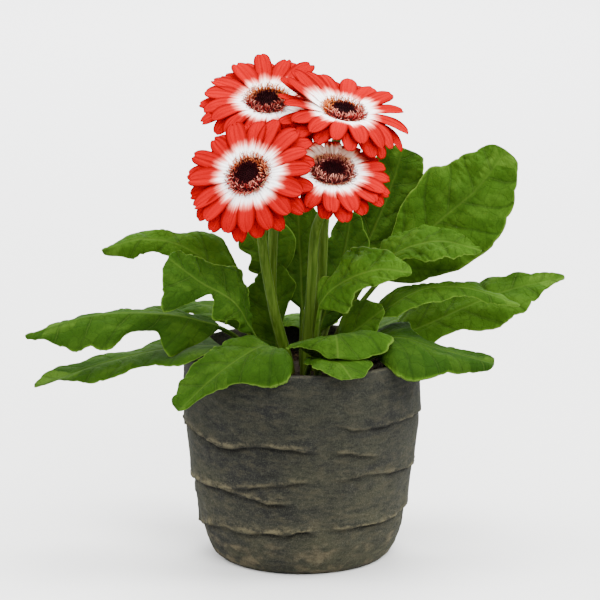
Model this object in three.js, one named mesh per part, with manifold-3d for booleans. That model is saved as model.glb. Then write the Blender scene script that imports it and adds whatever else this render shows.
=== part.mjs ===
// A potted gerbera: a ridged clay pot filled with potting soil, a crown with its lobed leaves, and four
// daisy blooms on bare stems. Each leaf, bloom, stem, the crown, the soil and the pot is a closed solid.
//
// Millimetres, +Z up. The origin is the centre of the pot's flat base; -Y is the front, +X is the right.
import * as THREE from 'three';
import { mergeVertices } from 'three/addons/utils/BufferGeometryUtils.js';
import Module from 'manifold-3d';

const wasm = await Module();
wasm.setup();

// ---------------------------------------------------------------- driving dimensions

const POT_HEIGHT = 132;
const POT_WALL = 5.5;
const POT_FLOOR = 7;
const POT_SIDES = 36;
// The pot's outside radius at each height, without its ledges.
const POT_PROFILE = [[0, 54], [2.5, 57], [8, 60], [20, 64.4], [57, 70.7], [87, 74.5], [109, 75.3],
  [132, 75]];
// Each ledge runs round the pot as a wrapped band's edge. height: its mean height. lift and liftAt: how
// far one side is lifted, and that side's angle. depth: how far its crest stands out.
const LEDGES = [
  { height: 26, lift: 2.5, liftAt: -20, depth: 1.7 },
  { height: 57, lift: 5.5, liftAt: -60, depth: 1.5 },
  { height: 88.5, lift: 5, liftAt: -20, depth: 1.5 },
  { height: 123, lift: 1.5, liftAt: 200, depth: 0.7 },
];

const GAP = 0.3; // clearance between touching pieces
const SOIL_TOP = 116;
const CROWN_RADIUS = 31;
const CROWN_SIDES = 24;
const CROWN_BOTTOM = 104;
const CROWN_TOP = 119;
const FOOT_BOTTOM = 107; // where petioles and stems end inside the crown
const FOOT_TOP = 120.5; // up to here they stand upright, then they bend away

const PETIOLE_RADIUS = 2.3;
const NECK_RADIUS = 1.5; // petiole where the blade starts
const BLADE_HALF = 0.42; // half the thickness of a blade
const RIB_DEPTH = 0.8; // how far the midrib stands out on the underside
const SWEEP = 0.12; // how far a blade's edges lie ahead of its rib, as a share of the half width
const WAVE = 1.3; // how far its edges wave up and down

const STEM_RADIUS = 3.5;
const STEM_TOP_RADIUS = 2.9;

// Leaves. foot: where the petiole stands in the crown. rib: the midrib's way from there to the tip.
// blade: the share of that way at which the blade starts. left and right: the blade's half widths at
// even steps from its start to its tip; a small number between large ones is a cut between two lobes.
// roll: how far the blade turns about its rib, at its start and its tip; plus lowers its right side.
// fold and curl: how far the left and right halves rise from the rib, and how far they bend towards
// the edge. blunt: how wide the blade still is close to its tip, as a share of the last half width.
const LEAVES = [
  { name: 'leaf_left_top', foot: [-23, 8], blade: 0.36, blunt: 0.6,
    rib: [[-38, 7, 150], [-54, 13, 179], [-76, 14, 196], [-102, 12, 201], [-127, 6, 195]],
    roll: [60, 30], fold: [-15, -5], curl: [-18, -10],
    left: [10, 14, 15, 13, 10, 8, 10, 6], right: [12, 20, 25, 16, 9, 9, 10, 8] },
  { name: 'leaf_left_inner', foot: [-19, -9], blade: 0.38, blunt: 0.6,
    rib: [[-30, -24, 146], [-42, -40, 171], [-64, -50, 187], [-82, -55, 202]],
    roll: [55, 60], fold: [-10, 0], curl: [-15, 5],
    left: [8, 8, 15, 17, 5, 15, 29, 18], right: [6, 16, 26, 22, 17, 18, 14, 12] },
  { name: 'leaf_left_long', foot: [-26, -2], blade: 0.3, blunt: 0.5,
    rib: [[-42, -8, 142], [-65, -18, 155], [-92, -26, 161], [-131, -32, 161], [-173, -36, 149]],
    roll: [32, 8], fold: [-26, -20], curl: [-20, -8],
    left: [18, 28, 13, 14, 25, 21, 19, 10], right: [16, 22, 16, 11, 12, 12, 11, 8] },
  { name: 'leaf_left_low', foot: [-25, -10], blade: 0.26, blunt: 0.5,
    rib: [[-52, -17, 137], [-77, -15, 137], [-121, -20, 129], [-168, -28, 114]],
    roll: [0, 8], fold: [-5, 5], curl: [-10, -2],
    left: [20, 25, 18, 14, 17, 17, 10, 5], right: [22, 27, 21, 13, 12, 14, 14, 11] },
  { name: 'leaf_front_left', foot: [-9, -25], blade: 0.22, blunt: 0.7,
    rib: [[-21, -48, 145.5], [-37, -59, 141], [-56, -66, 128], [-76, -73, 110]],
    roll: [0, 5], fold: [7, 6], curl: [-30, -2],
    left: [20, 28, 35, 28, 16, 12, 9, 5], right: [12, 15, 24, 26, 23, 22, 20, 13] },
  { name: 'leaf_back_stem', foot: [-15.5, 12], blade: 0.3, blunt: 0.6,
    rib: [[-17, 19, 142], [-18, 25, 160], [-17, 31, 181]],
    roll: [10, 10], fold: [5, 5], curl: [-8, -8],
    left: [20, 33, 29, 21, 16, 10], right: [4, 5, 8, 12, 14, 10] },
  { name: 'leaf_back_middle', foot: [0, 13], blade: 0.4, blunt: 0.7,
    rib: [[0, 29, 152], [-1, 50, 180], [-3, 64, 217]],
    roll: [0, 0], fold: [5, 5], curl: [-6, -6],
    left: [12, 18, 16, 21, 20, 18, 13], right: [12, 16, 15, 19, 19, 17, 12] },
  { name: 'leaf_back_left', foot: [-11, 17], blade: 0.6, blunt: 0.7,
    rib: [[-17, 28, 150], [-20, 36, 176], [-29, 44, 192], [-41, 50, 205]],
    roll: [30, 30], fold: [5, 5], curl: [-8, -8],
    left: [14, 10, 12, 8], right: [18, 24, 22, 14] },
  { name: 'leaf_right_top', foot: [19, 12], blade: 0.4, blunt: 0.72,
    rib: [[36, 20, 155], [62, 26, 184], [88, 27, 210], [113, 28, 232], [130, 32, 255]],
    roll: [-65, -60], fold: [8, 4], curl: [-7, -5],
    left: [12, 17, 24, 28, 31, 25, 23, 16], right: [20, 26, 32, 34, 35, 31, 24, 16] },
  { name: 'leaf_back_right', foot: [10, 19], blade: 0.4, blunt: 0.85,
    rib: [[22, 36, 154], [40, 48, 186], [55, 55, 220], [66, 58, 252]],
    roll: [-35, -35], fold: [8, 8], curl: [-7, -7],
    left: [14, 20, 20, 18, 16, 17, 20, 15], right: [14, 20, 22, 20, 16, 16, 19, 18] },
  { name: 'leaf_back_inner', foot: [7, 13], blade: 0.3, blunt: 0.7,
    rib: [[15, 24, 152], [26, 36, 183], [32, 42, 213]],
    roll: [-15, -15], fold: [5, 5], curl: [-6, -6],
    left: [9, 12, 11, 14, 14, 14, 10], right: [12, 16, 14, 18, 17, 15, 10] },
  { name: 'leaf_right_upper', foot: [15, 5], blade: 0.5, blunt: 0.5,
    rib: [[27, 3, 152], [43, 0, 180], [61, -3, 196], [87, -5, 203], [113, -7, 197]],
    roll: [-25, -20], fold: [15, 0], curl: [-15, -12],
    left: [12, 17, 17, 21, 15, 9, 5], right: [8, 10, 10, 18, 19, 16, 10] },
  { name: 'leaf_right_long', foot: [25, 5], blade: 0.3, blunt: 0.5,
    rib: [[45, 6, 136], [73, 7, 144], [100, 8, 156], [130, 10, 168], [168, 14, 176]],
    roll: [-35, -35], fold: [5, 0], curl: [-8, -10],
    left: [20, 31, 29, 23, 18, 14, 10, 7], right: [16, 13, 12, 19, 22, 21, 15, 6] },
  { name: 'leaf_right_middle', foot: [21, -3], blade: 0.3, blunt: 0.5,
    rib: [[36, -8, 146], [56, -12, 163], [76, -14, 174], [103, -15, 175], [137, -16, 164]],
    roll: [-5, -10], fold: [10, -10], curl: [-5, -12],
    left: [17, 19, 16, 11, 9, 8, 6], right: [9, 14, 13, 12, 8, 6, 4] },
  { name: 'leaf_front_crinkled', foot: [9, -17], blade: 0.48, blunt: 0.6,
    rib: [[9, -30, 150], [14, -38, 174], [30, -42, 187], [48, -40, 192], [68, -36, 189]],
    roll: [-40, -45], fold: [0, 0], curl: [-5, -8],
    left: [18, 13, 21, 26, 24, 20, 15, 9], right: [15, 22, 17, 12, 12, 11, 8, 4] },
  { name: 'leaf_right_low', foot: [24, -10], blade: 0.2, blunt: 0.75,
    rib: [[38, -19, 138], [58, -29, 146.5], [86, -34, 140], [120, -33, 130]],
    roll: [0, -5], fold: [5, 5], curl: [0, -38],
    left: [19, 29, 26, 13, 8, 8, 11, 12], right: [19, 15, 28, 33, 29, 20, 14, 9] },
  { name: 'leaf_front_short', foot: [10, -25], blade: 0.3, blunt: 0.6,
    rib: [[18, -36, 147], [21, -52, 152], [22, -67, 142]],
    roll: [0, 0], fold: [6, -5], curl: [-12, -10],
    left: [12, 23, 31, 36, 33, 22], right: [16, 28, 33, 30, 22, 12] },
  { name: 'leaf_front_rim', foot: [3, -22], blade: 0.42, blunt: 0.7,
    rib: [[7, -38, 134], [15, -56, 139], [24, -70, 138.5], [30, -80, 132]],
    roll: [0, 0], fold: [3, 3], curl: [-8, -8],
    left: [9, 18, 20, 24, 22, 15], right: [9, 15, 13, 17, 15, 11] },
  { name: 'leaf_right_inner', foot: [18, -13], blade: 0.4, blunt: 0.6,
    rib: [[26, -15, 141], [39, -19, 153], [51, -22, 163]],
    roll: [-40, -50], fold: [5, 5], curl: [-8, -8],
    left: [13, 19, 23, 22, 17, 10], right: [6, 9, 13, 14, 12, 7] },
  { name: 'leaf_back_right_low', foot: [17, 20], blade: 0.24, blunt: 0.6,
    rib: [[42, 26, 136], [64, 46, 142], [94, 72, 140], [116, 90, 128]],
    roll: [0, 0], fold: [5, 5], curl: [-12, -12],
    left: [16, 22, 18, 24, 24, 20, 15, 9], right: [16, 22, 18, 24, 24, 20, 15, 9] },
  { name: 'leaf_back_low', foot: [3, 26], blade: 0.26, blunt: 0.6,
    rib: [[5, 50, 136], [2, 76, 138], [-4, 108, 128], [-8, 134, 108]],
    roll: [0, 0], fold: [3, 3], curl: [-12, -12],
    left: [14, 20, 16, 23, 24, 21, 16, 9], right: [13, 21, 17, 22, 24, 20, 15, 9] },
  { name: 'leaf_back_left_low', foot: [-20, 18], blade: 0.28, blunt: 0.6,
    rib: [[-36, 40, 140], [-62, 62, 147], [-92, 82, 141], [-112, 94, 126]],
    roll: [0, 0], fold: [5, 5], curl: [-12, -12],
    left: [15, 21, 17, 23, 22, 19, 14, 8], right: [15, 20, 17, 23, 23, 20, 15, 9] },
];

// Blooms. centre: the middle of the hub. facing: the way the face looks. radius: to the petal tips.
// foot and via: the stem's way from the crown. bends: how the petals on one side differ. side: its angle
// round the face, with 0 to the right and 90 to the top. lift: how many degrees more they rise where
// they leave the hub. droop: how many more they bend back at their ends. narrow: how few share it.
const BLOOMS = [
  { name: 'front_left', centre: [-32, -50, 252], facing: [-0.36, -0.71, 0.605], radius: 43,
    foot: [-8, -8], via: [[-19, -14, 167], [-25, -20, 209]],
    bends: [{ side: -90, lift: -2, droop: 9, narrow: 1 }, { side: 90, lift: -1, droop: 5, narrow: 1 },
      { side: 175, lift: 3, droop: -14, narrow: 1 }] },
  { name: 'back_left', centre: [-22, 22, 286.5], facing: [-0.05, -0.5, 0.86], radius: 46,
    foot: [-9, 8], via: [[-19, 6, 163], [-18, 9, 213], [-19, 22, 254]],
    bends: [{ side: -108, lift: 18, droop: 12, narrow: 2 }, { side: 90, lift: 2, droop: -16, narrow: 1 },
      { side: -30, lift: -4, droop: 20, narrow: 3 }, { side: -144, lift: 13, droop: 0, narrow: 5 }] },
  { name: 'front_right', centre: [18.5, -36, 251], facing: [0.1, -0.48, 0.87], radius: 39,
    foot: [2, -10], via: [[6, -10, 177], [9, -15, 214]],
    bends: [{ side: -90, lift: 3, droop: 8, narrow: 1 }, { side: 90, lift: 0, droop: 8, narrow: 1 }] },
  { name: 'back_right', centre: [25.5, 0, 283], facing: [0.2, -0.34, 0.92], radius: 45.5,
    foot: [5, 3], via: [[12, 4, 175], [14, 6, 213], [19, 8, 248]],
    bends: [{ side: -115, lift: 21, droop: 0, narrow: 2 }, { side: -62, lift: 2, droop: 34, narrow: 5 },
      { side: 131, lift: 16, droop: -46, narrow: 4 }, { side: 30, lift: 2, droop: -12, narrow: 2 }] },
];
const HUB_RADIUS = 12.5;
const HUB_TOP = 1.1; // the hub runs this far above the bloom's centre
const HUB_BOTTOM = -1.6;
const DISC_RADIUS = 13.2;
const CUP_DEPTH = 13; // the green cup of bracts under the hub
// Petal layers: how many, their share of the bloom's radius, height at the hub, and the angles at which
// a petal leaves the hub and ends.
const PETAL_LAYERS = [
  { count: 16, reach: 1, height: -0.7, leave: 6, end: -24, turn: 0 },
  { count: 16, reach: 0.94, height: 0.3, leave: 14, end: -16, turn: 0.5 },
];
const PETAL_WIDTH = 11;
const PETAL_HALF = 0.36; // half the thickness of a petal

// ---------------------------------------------------------------- small helpers

const rad = THREE.MathUtils.degToRad;
const lerp = THREE.MathUtils.lerp;
const vec = (a) => new THREE.Vector3(...a);

// A repeatable number from 0 to 1 for the i-th thing and its k-th property.
function chance(i, k) {
  const x = Math.sin(i * 12.9898 + k * 78.233) * 43758.5453;
  return x - Math.floor(x);
}

function smooth(t) {
  const c = Math.min(1, Math.max(0, t));
  return c * c * (3 - 2 * c);
}

function alongTable(table, x) {
  let i = 1;
  while (i < table.length - 1 && table[i][0] < x) i += 1;
  const [x0, y0] = table[i - 1];
  const [x1, y1] = table[i];
  return lerp(y0, y1, Math.min(1, Math.max(0, (x - x0) / (x1 - x0))));
}

// A closed surface from rings of points, ended by a fan to a point at each end. With twoFaced, the
// second half of each ring is the underside of the first, split along the same diagonals.
function ringSolid(rings, first, last, twoFaced = false) {
  const n = rings[0].length;
  const points = [...rings.flat(), first, last];
  const faces = [];
  for (let s = 0; s < rings.length - 1; s += 1) {
    for (let j = 0; j < n; j += 1) {
      const a = s * n + j;
      const b = s * n + (j + 1) % n;
      const c = b + n;
      const d = a + n;
      if (twoFaced && j >= n / 2) faces.push([a, b, d], [b, c, d]);
      else faces.push([a, b, c], [a, c, d]);
    }
  }
  const end = (rings.length - 1) * n;
  for (let j = 0; j < n; j += 1) {
    faces.push([(j + 1) % n, j, points.length - 2]);
    faces.push([end + j, end + (j + 1) % n, points.length - 1]);
  }
  let volume = 0;
  for (const [a, b, c] of faces) volume += points[a].dot(points[b].clone().cross(points[c]));
  const turned = volume < 0 ? faces.map(([a, b, c]) => [a, c, b]) : faces;
  return new THREE.BufferGeometry()
    .setAttribute('position', new THREE.Float32BufferAttribute(points.flatMap((p) => p.toArray()), 3))
    .setIndex(turned.flat());
}

function toSolid(geometry) {
  const plain = new THREE.BufferGeometry()
    .setAttribute('position', geometry.getAttribute('position').clone());
  if (geometry.index) plain.setIndex(geometry.index);
  const merged = mergeVertices(plain, 1e-4);
  return new wasm.Manifold(new wasm.Mesh({
    numProp: 3,
    vertProperties: new Float32Array(merged.getAttribute('position').array),
    triVerts: new Uint32Array(merged.index.array),
  }));
}

function toGeometry(solid) {
  const mesh = solid.getMesh();
  return new THREE.BufferGeometry()
    .setAttribute('position', new THREE.BufferAttribute(mesh.vertProperties, 3))
    .setIndex(new THREE.BufferAttribute(mesh.triVerts, 1));
}

function circle(radius, height, sides, turn = 0) {
  return Array.from({ length: sides }, (_, j) => {
    const a = (j / sides) * 2 * Math.PI + turn;
    return new THREE.Vector3(radius * Math.cos(a), radius * Math.sin(a), height);
  });
}

function material(color, roughness) {
  return new THREE.MeshStandardMaterial({ color, roughness, metalness: 0 });
}

const MATERIALS = {
  clay: material(0x4a453b, 0.9),
  soil: material(0x2b2019, 1),
  crown: material(0x4a3f22, 0.9),
  leaf: material(0x3f7a1c, 0.55),
  stem: material(0x5f8a2a, 0.5),
  petal: material(0xf03a2a, 0.6),
  disc: material(0x3a0f14, 0.8),
};

const plant = new THREE.Group();

function addPiece(name, geometry, kind) {
  const mesh = new THREE.Mesh(geometry, MATERIALS[kind]);
  mesh.name = name;
  plant.add(mesh);
}

// ---------------------------------------------------------------- pot

// The pot's inside is one straight taper from the rim to its floor.
function insideRadius(height) {
  const low = alongTable(POT_PROFILE, 20) - POT_WALL;
  const high = alongTable(POT_PROFILE, POT_HEIGHT) - POT_WALL;
  return lerp(low, high, (height - 20) / (POT_HEIGHT - 20));
}

function ledgeHeight(ledge, angle) {
  return ledge.height + ledge.lift * Math.cos(angle - rad(ledge.liftAt));
}

// A ring of the pot's outside, moved off the profile by out. heightAt gives its height at each angle.
function potRing(heightAt, out) {
  return Array.from({ length: POT_SIDES }, (_, j) => {
    const a = (j / POT_SIDES) * 2 * Math.PI;
    const z = heightAt(a);
    const r = alongTable(POT_PROFILE, z) + out;
    return new THREE.Vector3(r * Math.cos(a), r * Math.sin(a), z);
  });
}

function potGeometry() {
  const rings = [potRing(() => 0, 0), potRing(() => 2.5, 0), potRing(() => 9, 0.2)];
  LEDGES.forEach((ledge, i) => {
    rings.push(potRing((a) => ledgeHeight(ledge, a) - 1.6, -0.4 * ledge.depth));
    rings.push(potRing((a) => ledgeHeight(ledge, a) + 0.6, ledge.depth));
    const next = LEDGES[i + 1];
    if (next) {
      rings.push(potRing((a) => lerp(ledgeHeight(ledge, a), ledgeHeight(next, a), 0.45), 0.2));
    }
  });
  rings.push(potRing(() => POT_HEIGHT - 1.5, 0));
  rings.push(potRing(() => POT_HEIGHT, -1.5));
  rings.push(potRing(() => POT_HEIGHT, 1.2 - POT_WALL));
  rings.push(circle(insideRadius(POT_HEIGHT - 1.5), POT_HEIGHT - 1.5, POT_SIDES));
  rings.push(circle(insideRadius(POT_FLOOR + 5), POT_FLOOR + 5, POT_SIDES));
  rings.push(circle(insideRadius(POT_FLOOR) - 5, POT_FLOOR, POT_SIDES));
  return ringSolid(rings, vec([0, 0, 0]), vec([0, 0, POT_FLOOR]));
}

addPiece('pot', potGeometry(), 'clay');

// ---------------------------------------------------------------- soil and crown

// The points with their heights made uneven.
function crumbs(points, amount, k) {
  return points.map((p, j) => p.clone().setZ(p.z + (chance(j, k) - 0.5) * amount));
}

function soilGeometry() {
  const rings = [
    circle(insideRadius(POT_FLOOR) - 5 - GAP, POT_FLOOR + GAP, POT_SIDES),
    circle(insideRadius(POT_FLOOR + 5) - GAP, POT_FLOOR + 5 + GAP, POT_SIDES),
    circle(insideRadius(SOIL_TOP - 2) - GAP, SOIL_TOP - 2, POT_SIDES),
    crumbs(circle(61, SOIL_TOP, POT_SIDES), 2, 1),
    crumbs(circle(48, SOIL_TOP + 0.5, POT_SIDES), 2.4, 2),
    circle(CROWN_RADIUS + 3, SOIL_TOP, POT_SIDES),
  ];
  const body = ringSolid(rings, vec([0, 0, POT_FLOOR + GAP]), vec([0, 0, SOIL_TOP]));
  const [low, high] = [CROWN_BOTTOM - GAP, SOIL_TOP + 9];
  const hole = ringSolid([low, high].map((z) => circle(CROWN_RADIUS + GAP, z, CROWN_SIDES)),
    vec([0, 0, low]), vec([0, 0, high]));
  return toGeometry(toSolid(body).subtract(toSolid(hole)));
}

// A plain upright eight-sided hole for a round stalk.
function socket([x, y], radius) {
  const across = (radius + GAP) / Math.cos(Math.PI / 8);
  const low = circle(across, FOOT_BOTTOM - GAP, 8).map((p) => p.add(new THREE.Vector3(x, y, 0)));
  const high = circle(across, FOOT_TOP + 5, 8).map((p) => p.add(new THREE.Vector3(x, y, 0)));
  return toSolid(ringSolid([low, high], vec([x, y, FOOT_BOTTOM - GAP]), vec([x, y, FOOT_TOP + 5])));
}

function crownGeometry() {
  const rings = [
    circle(CROWN_RADIUS - 2, CROWN_BOTTOM, CROWN_SIDES),
    circle(CROWN_RADIUS, CROWN_BOTTOM + 3, CROWN_SIDES),
    circle(CROWN_RADIUS, SOIL_TOP, CROWN_SIDES),
    crumbs(circle(CROWN_RADIUS - 3.5, CROWN_TOP - 1, CROWN_SIDES), 1.2, 5),
  ];
  const body = toSolid(ringSolid(rings, vec([0, 0, CROWN_BOTTOM]), vec([0, 0, CROWN_TOP])));
  const sockets = [
    ...LEAVES.map((leaf) => socket(leaf.foot, PETIOLE_RADIUS)),
    ...BLOOMS.map((bloom) => socket(bloom.foot, STEM_RADIUS)),
  ];
  return toGeometry(body.subtract(wasm.Manifold.union(sockets)));
}

addPiece('soil', soilGeometry(), 'soil');
addPiece('crown', crownGeometry(), 'crown');

// ---------------------------------------------------------------- leaves

const PETIOLE_STEPS = 5;
const ACROSS = [-1, -0.6, 0, 0.6, 1]; // where a ring has its points, from the left edge to the right

// The way of a stalk: upright out of its foot, then along the points given.
function stalkCurve(foot, points) {
  const upright = [FOOT_BOTTOM, (FOOT_BOTTOM + FOOT_TOP) / 2, FOOT_TOP].map((z) => vec([...foot, z]));
  return new THREE.CatmullRomCurve3([...upright, ...points.map(vec)], false, 'centripetal');
}

function leafGeometry(leaf) {
  const curve = stalkCurve(leaf.foot, leaf.rib);
  const heading = vec(leaf.rib.at(-1)).sub(vec([...leaf.foot, 0])).setZ(0);
  const rightward = heading.clone().cross(new THREE.Vector3(0, 0, 1)).normalize();
  const steps = leaf.left.length + 1;

  // One ring across the leaf, at a share of the rib's way, for the half widths given.
  function ring(share, halves, wave) {
    const along = curve.getTangentAt(share);
    const u = Math.max(0, (share - leaf.blade) / (1 - leaf.blade)); // along the blade
    const p = Math.min(1, share / leaf.blade); // along the petiole
    const roll = rad(p < 1 ? leaf.roll[0] * smooth(p) : lerp(leaf.roll[0], leaf.roll[1], u));
    const right = rightward.clone().addScaledVector(along, -rightward.dot(along)).normalize();
    right.applyAxisAngle(along, -roll);
    const up = right.clone().cross(along);
    const isBlade = halves !== undefined;
    const stalk = lerp(PETIOLE_RADIUS, NECK_RADIUS, p);

    const place = (v, face) => {
      const side = v < 0 ? 0 : 1;
      const a = Math.abs(v);
      const width = a * (isBlade ? halves[side] : stalk);
      const bend = isBlade ? rad(leaf.fold[side] + leaf.curl[side] * a * a) : 0;
      const keel = face < 0 ? RIB_DEPTH * (1 - u) * Math.max(0, 1 - 2 * a) : 0;
      const thick = isBlade ? (a < 1 ? BLADE_HALF + keel : 0) : stalk * Math.sqrt(1 - a * a);
      return curve.getPointAt(share)
        .addScaledVector(right, Math.sign(v) * width * Math.cos(bend))
        .addScaledVector(up, width * Math.sin(bend) + face * thick + (isBlade ? wave * a * a : 0))
        .addScaledVector(along, isBlade ? SWEEP * width : 0);
    };
    const top = ACROSS.map((v) => place(v, 1));
    const bottom = ACROSS.slice(1, -1).reverse().map((v) => place(v, -1));
    return [...top, ...bottom];
  }

  const straight = 0.9 * (FOOT_TOP - FOOT_BOTTOM) / curve.getLength();
  const rings = [ring(0)];
  for (let i = 0; i < PETIOLE_STEPS; i += 1) {
    rings.push(ring(lerp(straight, leaf.blade, i / (PETIOLE_STEPS - 1))));
  }
  for (let k = 1; k < steps; k += 1) {
    const wave = WAVE * (k % 2 ? 1 : -1);
    rings.push(ring(lerp(leaf.blade, 1, k / steps), [leaf.left[k - 1], leaf.right[k - 1]], wave));
  }
  const tip = [leaf.blunt * leaf.left.at(-1), leaf.blunt * leaf.right.at(-1)];
  rings.push(ring(lerp(leaf.blade, 1, 1 - 0.35 / steps), tip, 0));
  return ringSolid(rings, curve.getPointAt(0), curve.getPointAt(1), true);
}

for (const leaf of LEAVES) addPiece(leaf.name, leafGeometry(leaf), 'leaf');

// ---------------------------------------------------------------- blooms

// The bloom's own axes: out along its face, up towards the sky in its plane, and to its right.
function bloomAxes(bloom) {
  const out = vec(bloom.facing).normalize();
  const up = new THREE.Vector3(0, 0, 1).addScaledVector(out, -out.z).normalize();
  const right = up.clone().cross(out);
  return new THREE.Matrix4().makeBasis(right, up, out).setPosition(vec(bloom.centre));
}

function petalWidth(t) {
  const claw = 0.5 + 0.5 * smooth(t / 0.6);
  const tip = Math.sqrt(Math.max(0, 1 - Math.pow(Math.max(0, (t - 0.56) / 0.44), 2.8)));
  return PETAL_WIDTH * claw * tip;
}

// One petal in the bloom's own axes, as a thin blade that leaves the hub at the angle given.
function petalSolid(bloom, layer, layerIndex, i) {
  const seed = i + 40 * layerIndex + bloom.radius;
  const angle = 2 * Math.PI * ((i + layer.turn) / layer.count) + (chance(seed, 1) - 0.5) * 0.14;
  let leave = layer.leave + (chance(seed, 2) - 0.5) * 4;
  let end = layer.end + (chance(seed, 3) - 0.5) * 10;
  for (const { side, lift, droop, narrow } of bloom.bends) {
    const share = Math.max(0, Math.cos(angle - rad(side))) ** narrow;
    leave += lift * share;
    end -= droop * share;
  }
  const start = HUB_RADIUS - 2.5;
  const length = (bloom.radius * layer.reach - start) * (0.94 + 0.12 * chance(seed, 4));
  const twist = rad((chance(seed, 5) - 0.5) * 10);
  const broad = 0.9 + 0.2 * chance(seed, 6);

  const outward = new THREE.Vector3(Math.cos(angle), Math.sin(angle), 0);
  const sideways = new THREE.Vector3(-Math.sin(angle), Math.cos(angle), 0);
  const rings = [];
  let r = start;
  let h = layer.height;
  let last = 0;
  for (const t of [0, 0.42, 0.76, 0.95]) {
    const slope = rad(lerp(leave, end, 0.5 * (t + last)));
    r += (t - last) * length * Math.cos(slope);
    h += (t - last) * length * Math.sin(slope);
    last = t;
    const half = 0.5 * broad * petalWidth(t);
    const middle = outward.clone().multiplyScalar(r).setZ(h);
    const thick = new THREE.Vector3(0, 0, PETAL_HALF);
    const across = sideways.clone().multiplyScalar(half * Math.cos(twist)).setZ(half * Math.sin(twist));
    const raised = 0.06 * petalWidth(t); // the edges stand a little above the middle
    rings.push([
      middle.clone().sub(across).setZ(middle.z - across.z + raised),
      middle.clone().add(thick),
      middle.clone().add(across).setZ(middle.z + across.z + raised),
      middle.clone().sub(thick),
    ]);
  }
  const tip = outward.clone().multiplyScalar(r + 0.05 * length).setZ(h);
  const root = outward.clone().multiplyScalar(start - 0.5).setZ(layer.height);
  return toSolid(ringSolid(rings, root, tip, true));
}

function petalsGeometry(bloom) {
  const sides = 16;
  const hub = ringSolid([circle(HUB_RADIUS, HUB_BOTTOM, sides), circle(HUB_RADIUS, HUB_TOP, sides)],
    vec([0, 0, HUB_BOTTOM]), vec([0, 0, HUB_TOP]));
  const petals = PETAL_LAYERS.flatMap((layer, k) =>
    Array.from({ length: layer.count }, (_, i) => petalSolid(bloom, layer, k, i)));
  return toGeometry(wasm.Manifold.union([toSolid(hub), ...petals])).applyMatrix4(bloomAxes(bloom));
}

// The disc: a low dome of dark florets with two toothed rings of taller ones round it.
function discGeometry(bloom) {
  const sides = 20;
  const base = HUB_TOP + GAP;
  // radius, height above the hub, and how far every second point stands up
  const rows = [[HUB_RADIUS - 1.3, 0, 0], [HUB_RADIUS - 0.4, 1, 0], [DISC_RADIUS, 2.4, 1.4],
    [11.2, 1.8, 0], [9.8, 2.8, 1.8], [7.8, 1.4, 0], [4.4, 1.8, 0.7]];
  const rings = rows.map(([r, z, tooth], k) => circle(r, base + z, sides, (k * Math.PI) / sides)
    .map((p, j) => (j % 2 ? p.setZ(p.z + tooth) : p)));
  return ringSolid(rings, vec([0, 0, base]), vec([0, 0, base + 1.6])).applyMatrix4(bloomAxes(bloom));
}

// The stem and the green cup of bracts at its head, as one piece.
function stemGeometry(bloom) {
  const sides = 10;
  const out = vec(bloom.facing).normalize();
  const centre = vec(bloom.centre);
  const cupBottom = centre.clone().addScaledVector(out, HUB_BOTTOM - GAP - CUP_DEPTH);
  const lead = cupBottom.clone().addScaledVector(out, -9);
  const curve = stalkCurve(bloom.foot, [...bloom.via, lead.toArray(), cupBottom.toArray()]);
  const steps = 9;
  const rings = [];
  const round = (point, along, radius, flute = 0) => {
    const right = new THREE.Vector3(1, 0, 0).addScaledVector(along, -along.x).normalize();
    const forward = along.clone().cross(right);
    return circle(1, 0, sides).map((p, j) => {
      const r = radius * (1 + (j % 2 ? flute : 0));
      return point.clone().addScaledVector(right, p.x * r).addScaledVector(forward, p.y * r);
    });
  };
  const straight = (FOOT_TOP - FOOT_BOTTOM) / curve.getLength();
  for (let i = 0; i <= steps; i += 1) {
    const share = i === 0 ? 0 : lerp(straight, 1, (i - 1) / (steps - 1));
    const radius = lerp(STEM_RADIUS, STEM_TOP_RADIUS, share);
    rings.push(round(curve.getPointAt(share), curve.getTangentAt(share), radius));
  }
  for (const [depth, radius, flute] of [[10.5, 7, 0.06], [5, 10.2, 0.08], [0, 11.4, 0.03]]) {
    rings.push(round(centre.clone().addScaledVector(out, HUB_BOTTOM - GAP - depth), out, radius, flute));
  }
  return ringSolid(rings, curve.getPointAt(0), centre.clone().addScaledVector(out, HUB_BOTTOM - GAP));
}

for (const bloom of BLOOMS) {
  addPiece(`stem_${bloom.name}`, stemGeometry(bloom), 'stem');
  addPiece(`petals_${bloom.name}`, petalsGeometry(bloom), 'petal');
  addPiece(`disc_${bloom.name}`, discGeometry(bloom), 'disc');
}

export default plant;
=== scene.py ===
"""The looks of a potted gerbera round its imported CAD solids. Lengths are millimetres until a mesh is made."""

import math

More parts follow.
